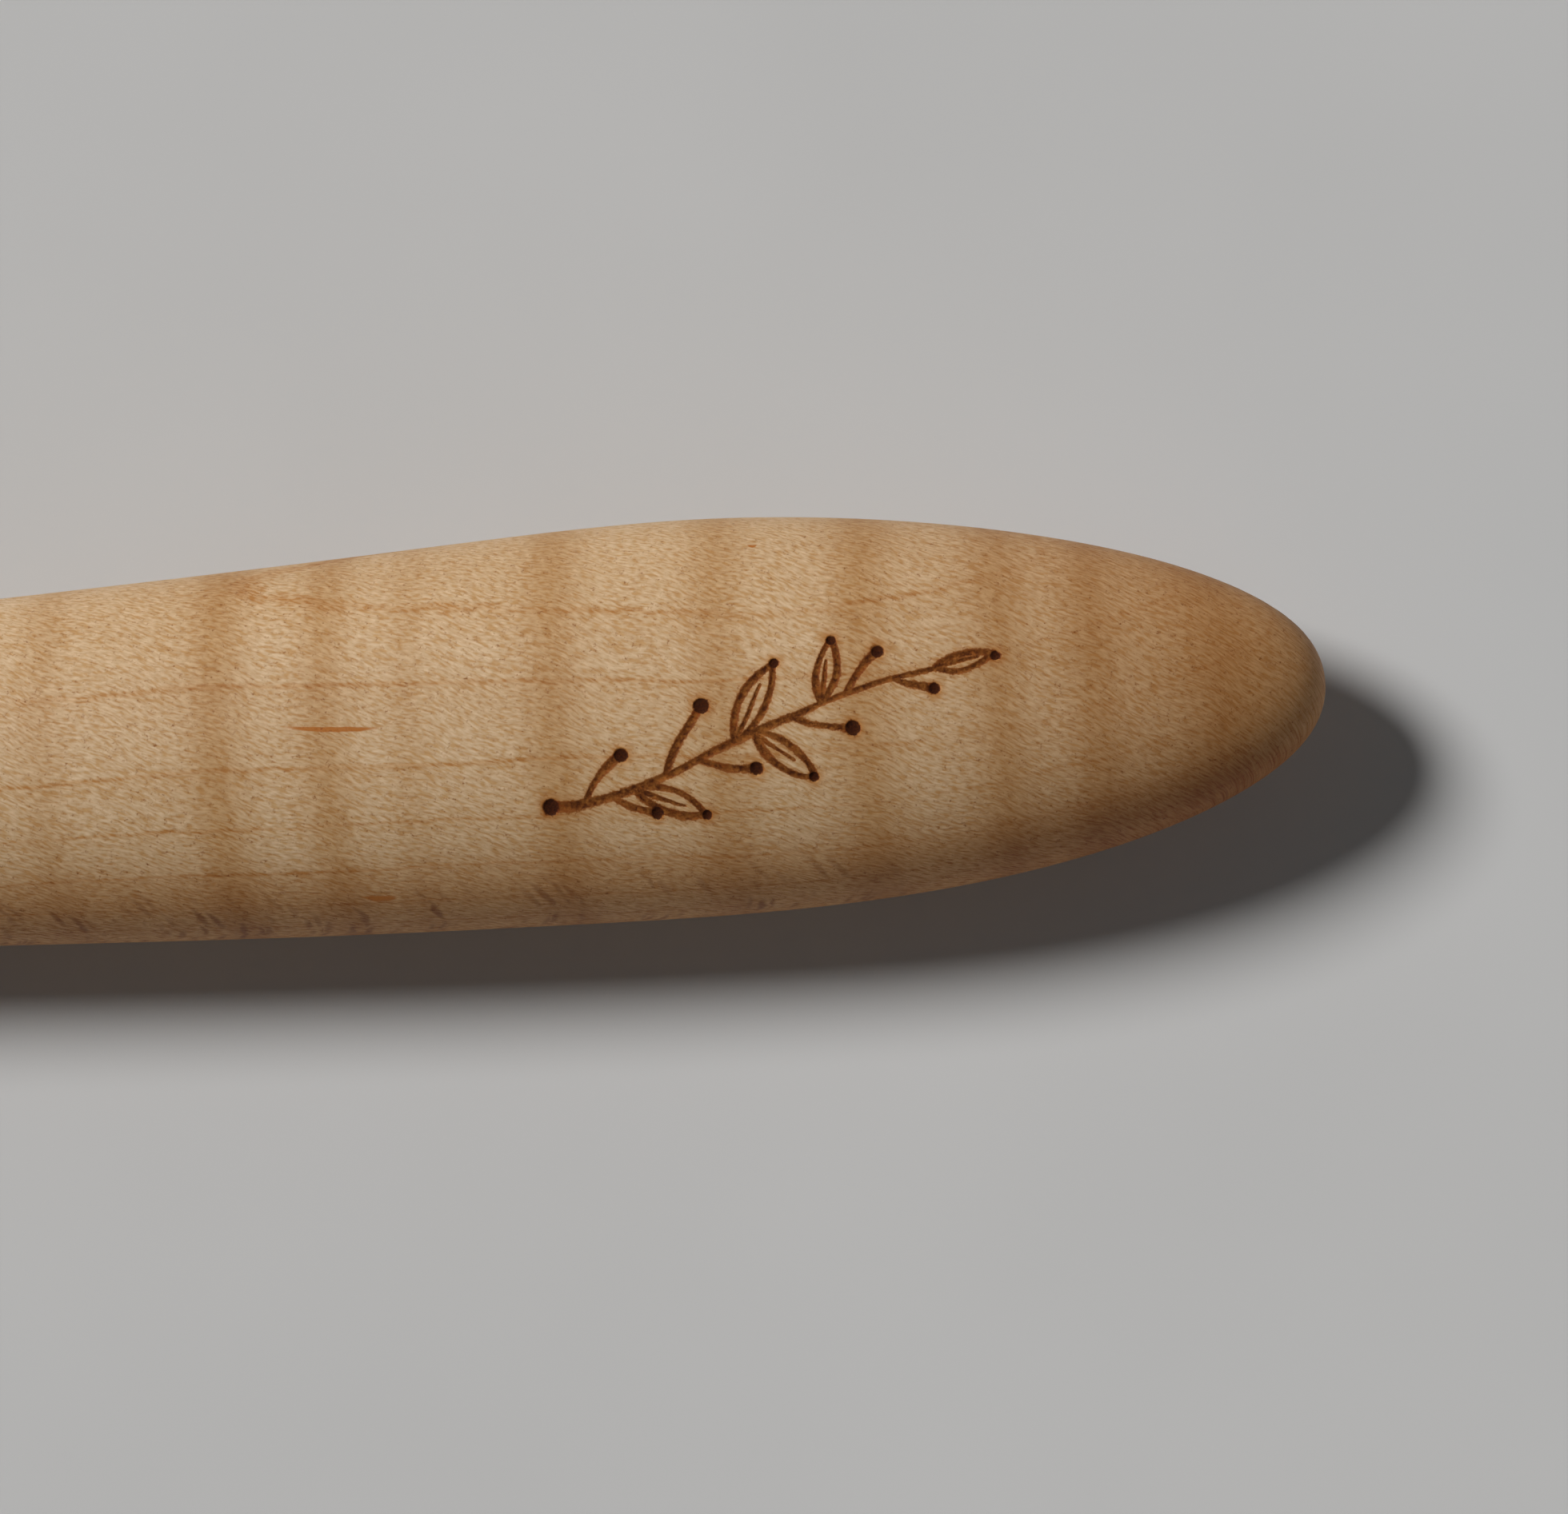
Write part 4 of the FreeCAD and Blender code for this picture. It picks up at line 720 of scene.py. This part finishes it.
    colour = n.ramp(slow, zip((0.3, 0.7), MAPLE_TONES))
    colour = tinted(bands, colour, BAND_TINT)
    colour = tinted(n.times(latewood, 0.2), colour, LATEWOOD_TINT)
    broken_line = n.times(line, fading, n.plus(0.55, n.times(dark_weave, 0.35)))
    colour = tinted(broken_line, colour, RING_LINE_TINT)
    colour = tinted(dark_weave, colour, DARK_WEAVE_TINT)
    colour = tinted(pale_weave, colour, PALE_WEAVE_TINT)
    colour = tinted(n.times(pale_ray, 0.6), colour, PALE_RAY_TINT)
    colour = tinted(n.times(ray, n.plus(0.3, n.times(broadside, 0.6))), colour, DARK_RAY_TINT)
    colour = tinted(n.times(fine_ray, n.plus(0.3, n.times(broadside, 0.5))), colour, FINE_RAY_TINT)
    colour = tinted(n.times(broadside, 0.5), colour, BROADSIDE_TINT)
    # painted shade: the faces turned towards -Y made darker and browner, as if in shade
    colour = tinted(painted_shade_side, colour, PAINTED_SHADE_TINT)
    colour = tinted(n.times(flake_share, 0.75), colour, FLAKE_TINT)
    colour = tinted(end_grain, colour, END_GRAIN_TINT)

    # gum-stained pith flecks
    for at, side, half_length, half_width in PITH_FLECKS:
        off_x = n.times(n.minus(station, at), 1 / half_length)
        sag = n.plus(n.times(off_x, off_x, -0.8 * half_width), n.times(off_x, -0.08 * half_length))
        unsteady_y = n.plus(n.minus(y, AXIS_Y + side), sag, n.times(n.minus(quick, 0.5), 0.3))
        off_y = n.times(unsteady_y, 1 / half_width)
        away = n.math("SQRT", n.plus(n.times(off_x, off_x), n.times(off_y, off_y)))
        up = n.step(z, AXIS_Z, AXIS_Z + 0.5)
        colour = n.mix(n.times(n.step(away, 1.1, 0.65), up, 0.95), colour, FLECK_COLOUR)

    roughness = n.plus(0.54, n.times(ray, 0.08), n.times(bands, -0.03))
    if burned:
        brown, char, scorch = (n.attribute(field) for field in ("brown", "char", "scorch"))
        mottle = n.lumps(x, y, z, 1.1, 3, 0.65)
        blot = n.lumps(x, y, z, 3.2, 2, 0.6)
        grit = n.lumps(x, y, z, 8.0, 2, 0.6)
        ragged = n.plus(n.times(n.minus(blot, 0.5), 0.9), n.times(n.minus(grit, 0.5), 0.8))
        heavy = n.step(mottle, 0.36, 0.6, 0.45, 1.15)
        colour = tinted(n.times(scorch, 0.9), colour, SCORCH_TINT)
        colour = tinted(n.step(n.plus(brown, ragged), 0.05, 0.45), colour, BROWN_TINT)
        in_line = n.step(n.plus(n.times(brown, heavy), ragged), 0.28, 0.8, 0, 0.95)
        colour = n.mix(in_line, colour, n.ramp(blot, LINE_TONES))
        in_dot = n.step(n.plus(char, n.times(ragged, 1.2)), 0.2, 0.8, 0, 0.97)
        colour = n.mix(in_dot, colour, n.ramp(grit, DOT_TONES))
        roughness = n.plus(roughness, n.times(n.math("MAXIMUM", brown, char), 0.4))
    grain = n.plus(n.times(dark_weave, -0.5), n.times(pale_weave, 0.4))
    return n.set(Base_Color=colour, Roughness=roughness, IOR=1.47, Specular_IOR_Level=0.22,
                 Normal=n.bump(grain, 0.022, 0.5))


TARNISH_TINT = (0.7, 0.66, 0.6)


def turned_metal(name, tones, roughness, axis="x", heat=None, tarnish=0.25):
    """Lathe-turned metal: fine rings of tool marks, a soft tarnish and heat colours if it runs hot."""
    n = Nodes(name)
    x, y, z = n.place()
    along, across = (x, z) if axis == "x" else (z, x)
    marks = n.noise(n.join(n.times(along, 14.0), n.times(y, 0.05), n.times(across, 0.05)), 3, 0.7)
    cloud = n.lumps(x, y, z, 0.35, 4, 0.6)
    colour = n.ramp(cloud, zip((0.3, 0.7), tones))
    dulled = n.mix(1.0, colour, TARNISH_TINT, "MULTIPLY")
    colour = n.mix(n.step(marks, 0.5, 0.8, 0, tarnish), colour, dulled)
    if heat:
        start, end, stops = heat
        wander = n.times(n.minus(cloud, 0.5), 0.25)
        share = n.plus(n.times(n.minus(x, start), 1 / (end - start)), wander)
        tint = n.ramp(share, stops, "EASE")
        colour = n.mix(1.0, colour, tint, "MULTIPLY")
    rough = n.plus(roughness - 0.08, n.times(marks, 0.1), n.times(cloud, 0.1))
    return n.set(Base_Color=colour, Metallic=1.0, Roughness=rough, Normal=n.bump(marks, 0.006, 0.5))


def moulded(name, tones, roughness, texture=0.01, grain=6.0):
    """Moulded plastic or fired ceramic: a fine even texture and a slight cloudiness."""
    n = Nodes(name)
    x, y, z = n.place()
    cloud = n.lumps(x, y, z, 0.4, 3)
    fine = n.lumps(x, y, z, grain, 3, 0.7)
    colour = n.ramp(n.plus(n.times(cloud, 0.6), n.times(fine, 0.4)), zip((0.3, 0.7), tones))
    rough = n.plus(roughness - 0.05, n.times(fine, 0.12))
    return n.set(Base_Color=colour, Roughness=rough, Normal=n.bump(fine, texture, 0.8))


def circuit_board():
    """Green solder mask over copper tracks."""
    n = Nodes("solder_mask")
    x, y, _ = n.place()
    flat = n.join(n.times(x, 0.8), n.times(y, 0.8), 0.0)
    lanes = n.add("ShaderNodeTexVoronoi", {"Vector": flat, "Scale": 1.0},
                  distance="MANHATTAN", feature="F2").outputs["Distance"]
    track = n.step(n.math("PINGPONG", n.times(lanes, 3.0), 0.5), 0.3, 0.36)
    colour = n.mix(track, (0.012, 0.085, 0.035), (0.03, 0.19, 0.075))
    rough = n.plus(0.28, n.times(track, 0.08))
    return n.set(Base_Color=colour, Roughness=rough, Normal=n.bump(track, 0.03, 0.6))


def clear_lens():
    """Acrylic with a slight haze."""
    n = Nodes("clear_acrylic")
    haze = n.lumps(*n.place(), 3.0, 3)
    colour = n.ramp(haze, ((0.3, (0.93, 0.95, 0.93)), (0.7, (0.99, 0.99, 0.97))))
    return n.set(Base_Color=colour, Roughness=n.times(haze, 0.18), IOR=1.49, Transmission_Weight=0.8)


STEEL_TONES = ((0.50, 0.49, 0.475), (0.62, 0.61, 0.60))
BRASS_TONES = ((0.70, 0.48, 0.20), (0.83, 0.61, 0.30))
HEAT_STOPS = (
    (0.0, (0.62, 0.55, 0.50)), (0.14, (0.42, 0.40, 0.55)), (0.26, (0.42, 0.52, 0.80)),
    (0.36, (0.72, 0.50, 0.66)), (0.47, (0.85, 0.58, 0.36)), (0.62, (0.98, 0.84, 0.60)),
    (0.85, (1.0, 0.97, 0.93)), (1.0, (1.0, 1.0, 1.0)),
)
POINT_STOPS = (
    (0.0, (0.34, 0.26, 0.22)), (0.25, (0.30, 0.24, 0.23)), (0.55, (0.55, 0.42, 0.36)),
    (0.8, (0.85, 0.70, 0.58)), (1.0, (1.0, 0.94, 0.86)),
)

TIP = box_mm("burning_point")[0].x
NUT_FRONT = box_mm("point_nut")[0].x
GUARD_FRONT, GUARD_REAR = (corner.x for corner in box_mm("heat_guard"))

maple = figured_maple("figured_maple", burned=False)
burned_maple = figured_maple("burned_maple", burned=True)
brass = turned_metal("turned_brass", BRASS_TONES, 0.30)
upright_brass = turned_metal("upright_brass", BRASS_TONES, 0.32, axis="z")
steel = turned_metal("turned_steel", STEEL_TONES, 0.34)
hot_steel = turned_metal("heat_tinted_steel", STEEL_TONES, 0.34,
                         heat=(NUT_FRONT, GUARD_REAR - 6, HEAT_STOPS))
guard_steel = turned_metal("guard_steel", STEEL_TONES, 0.30,
                           heat=(GUARD_FRONT - 20, GUARD_REAR, HEAT_STOPS))
point_brass = turned_metal("heated_brass", ((0.50, 0.32, 0.15), (0.66, 0.44, 0.22)), 0.42,
                           heat=(TIP, NUT_FRONT, POINT_STOPS), tarnish=0.5)
black_plastic = moulded("black_plastic", ((0.012, 0.012, 0.013), (0.022, 0.022, 0.023)), 0.45)
button_plastic = moulded("button_plastic", ((0.018, 0.016, 0.015), (0.032, 0.029, 0.027)), 0.38,
                         0.014, 9.0)
ceramic = moulded("fired_alumina", ((0.74, 0.71, 0.64), (0.86, 0.84, 0.78)), 0.42, 0.012)
mica = moulded("mica_sleeve", ((0.42, 0.34, 0.22), (0.62, 0.53, 0.38)), 0.5, 0.02, 3.0)
silicone = moulded("silicone_sleeve", ((0.28, 0.03, 0.02), (0.40, 0.06, 0.045)), 0.5)
shrink_sleeve = moulded("shrink_sleeve", ((0.03, 0.13, 0.27), (0.05, 0.18, 0.34)), 0.28, 0.008, 2.0)
phosphor = moulded("led_phosphor", ((0.85, 0.78, 0.35), (0.93, 0.88, 0.5)), 0.3)
board = circuit_board()
lens = clear_lens()

PLAIN = {
    "battery_cell": shrink_sleeve, "rear_contact": steel, "front_contact": steel,
    "battery_wires": silicone, "heater_leads": silicone, "control_board": board,
    "board_screws": steel, "board_components": black_plastic, "tact_switch": black_plastic,
    "switch_plunger": black_plastic, "slide_switch": black_plastic, "switch_lever": black_plastic,
    "lock_slider": button_plastic, "status_led": phosphor, "socket_shell": steel,
    "socket_body": black_plastic, "heater_sleeve": mica, "heater_core": ceramic,
    "slider_plate": upright_brass, "cover_screws": upright_brass, "guard_screws": steel,
    "ferrule_pins": upright_brass, "button_bezel": upright_brass,
}
for node, material in PLAIN.items():
    materials = frame["nodes"][node].data.materials
    materials.clear()
    materials.append(material)

wooden("carved_handle", "handle", burned_maple, HANDLE_EDGE, carved=True)
wooden("fitted_cover", "base_cover", maple, COVER_EDGE)
turned("turned_ferrule", "front_ferrule", brass)
turned("round_bush", "insulator_bush", ceramic)
turned("round_barrel", "heater_barrel", hot_steel)
turned("round_guard", "heat_guard", guard_steel)
turned("round_guard_ring", "guard_ring", guard_steel)
turned("round_point_socket", "point_socket", hot_steel)
turned("knurled_nut", "point_nut", hot_steel)
turned("ground_point", "burning_point", point_brass)
turned("domed_button", "power_button", button_plastic, axis="z")
turned("domed_lens", "led_lens", lens, axis="z")

# ------------------------------------------------------------------ floor, light and camera

# in metres
FLOOR_SIZE = 8.0
FILL_DISTANCE = 1.2
FILL_SIZE = 0.9
CAMERA_DISTANCE = 0.262


def floor():
    """A plain pale floor under the pen."""
    mesh = bpy.data.meshes.new("pale_floor")
    half = FLOOR_SIZE / 2
    corner_places = [(-half, -half, 0), (half, -half, 0), (half, half, 0), (-half, half, 0)]
    mesh.from_pydata(corner_places, [], [(0, 1, 2, 3)])
    n = Nodes("pale_floor")
    x, y, _ = n.place()
    mottle = n.noise(n.join(n.times(x, 0.02), n.times(y, 0.02), 0.0), 3)
    colour = n.ramp(mottle, ((0.3, (0.60, 0.595, 0.585)), (0.7, (0.63, 0.625, 0.615))))
    mesh.materials.append(n.set(Base_Color=colour, Roughness=0.8))
    surface = bpy.data.objects.new("pale_floor", mesh)
    bpy.context.scene.collection.objects.link(surface)
    surface.location.z = cad_low.z


def aimed(thing, place, target, right=None):
    """Stand a light or the camera at a place, looking at a target, its image's right given."""
    back = (place - target).normalized()
    side = right - back * right.dot(back) if right else Vector((0, 0, 1)).cross(back)
    side.normalize()
    up = back.cross(side)
    turn = Matrix((side, up, back)).transposed().to_4x4()
    thing.matrix_world = Matrix.Translation(place) @ turn


def key_light(direction, strength, softness):
    """The main light, the same all over the floor: softness is how wide it looks, in degrees."""
    lamp = bpy.data.lights.new("key", "SUN")
    lamp.energy = strength
    lamp.angle = math.radians(softness)
    holder = bpy.data.objects.new("key", lamp)
    bpy.context.scene.collection.objects.link(holder)
    aimed(holder, Vector(direction), Vector())


def fill_light(direction, watts, target):
    """A wide, weak soft box on the other side."""
    lamp = bpy.data.lights.new("fill", "AREA")
    lamp.shape = "DISK"
    lamp.size = FILL_SIZE
    lamp.energy = watts
    holder = bpy.data.objects.new("fill", lamp)
    bpy.context.scene.collection.objects.link(holder)
    aimed(holder, target + Vector(direction).normalized() * FILL_DISTANCE, target)


def studio_walls(walls, ceiling):
    """A plain room: pale walls low down all round, and a dim ceiling."""
    world = bpy.data.worlds.new("studio")
    world.use_nodes = True
    tree = world.node_tree
    split = tree.nodes.new("ShaderNodeSeparateXYZ")
    tree.links.new(tree.nodes.new("ShaderNodeTexCoord").outputs["Generated"], split.inputs[0])
    shade = tree.nodes.new("ShaderNodeMapRange")
    shade.interpolation_type = "SMOOTHSTEP"
    shade.inputs["From Min"].default_value = 0.1
    shade.inputs["From Max"].default_value = 0.35
    shade.inputs["To Min"].default_value = walls
    shade.inputs["To Max"].default_value = ceiling
    tree.links.new(split.outputs["Z"], shade.inputs["Value"])
    background = tree.nodes["Background"]
    background.inputs["Color"].default_value = (0.97, 0.98, 1.0, 1)
    tree.links.new(shade.outputs[0], background.inputs["Strength"])
    bpy.context.scene.world = world


def camera(target):
    """A long lens almost overhead, the handle rising a little to the right in the picture."""
    view = bpy.data.cameras.new("camera")
    view.lens = 100
    view.sensor_width = 36
    view.clip_start = 0.01
    view.dof.use_dof = False
    holder = bpy.data.objects.new("camera", view)
    bpy.context.scene.collection.objects.link(holder)
    towards_butt, towards_side, roll = (math.radians(angle) for angle in (4.0, 4.6, 3.9))
    lean = Vector((math.tan(towards_butt), -math.tan(towards_side), 1)).normalized()
    right = Vector((math.cos(roll), -math.sin(roll), 0))
    aimed(holder, target + lean * CAMERA_DISTANCE, target, right)
    bpy.context.scene.camera = holder


middle_of_view = Vector((BUTT - 32.6, AXIS_Y - 2.3, AXIS_Z)) * MM
floor()
key_light((-0.85, 0.55, 1.0), strength=2.8, softness=18)
fill_light((0.7, -0.6, 1.3), watts=0.25, target=middle_of_view)
studio_walls(walls=0.5, ceiling=0.05)
camera(middle_of_view)
bpy.context.scene.view_settings.view_transform = "Standard"

bpy.context.view_layer.update()
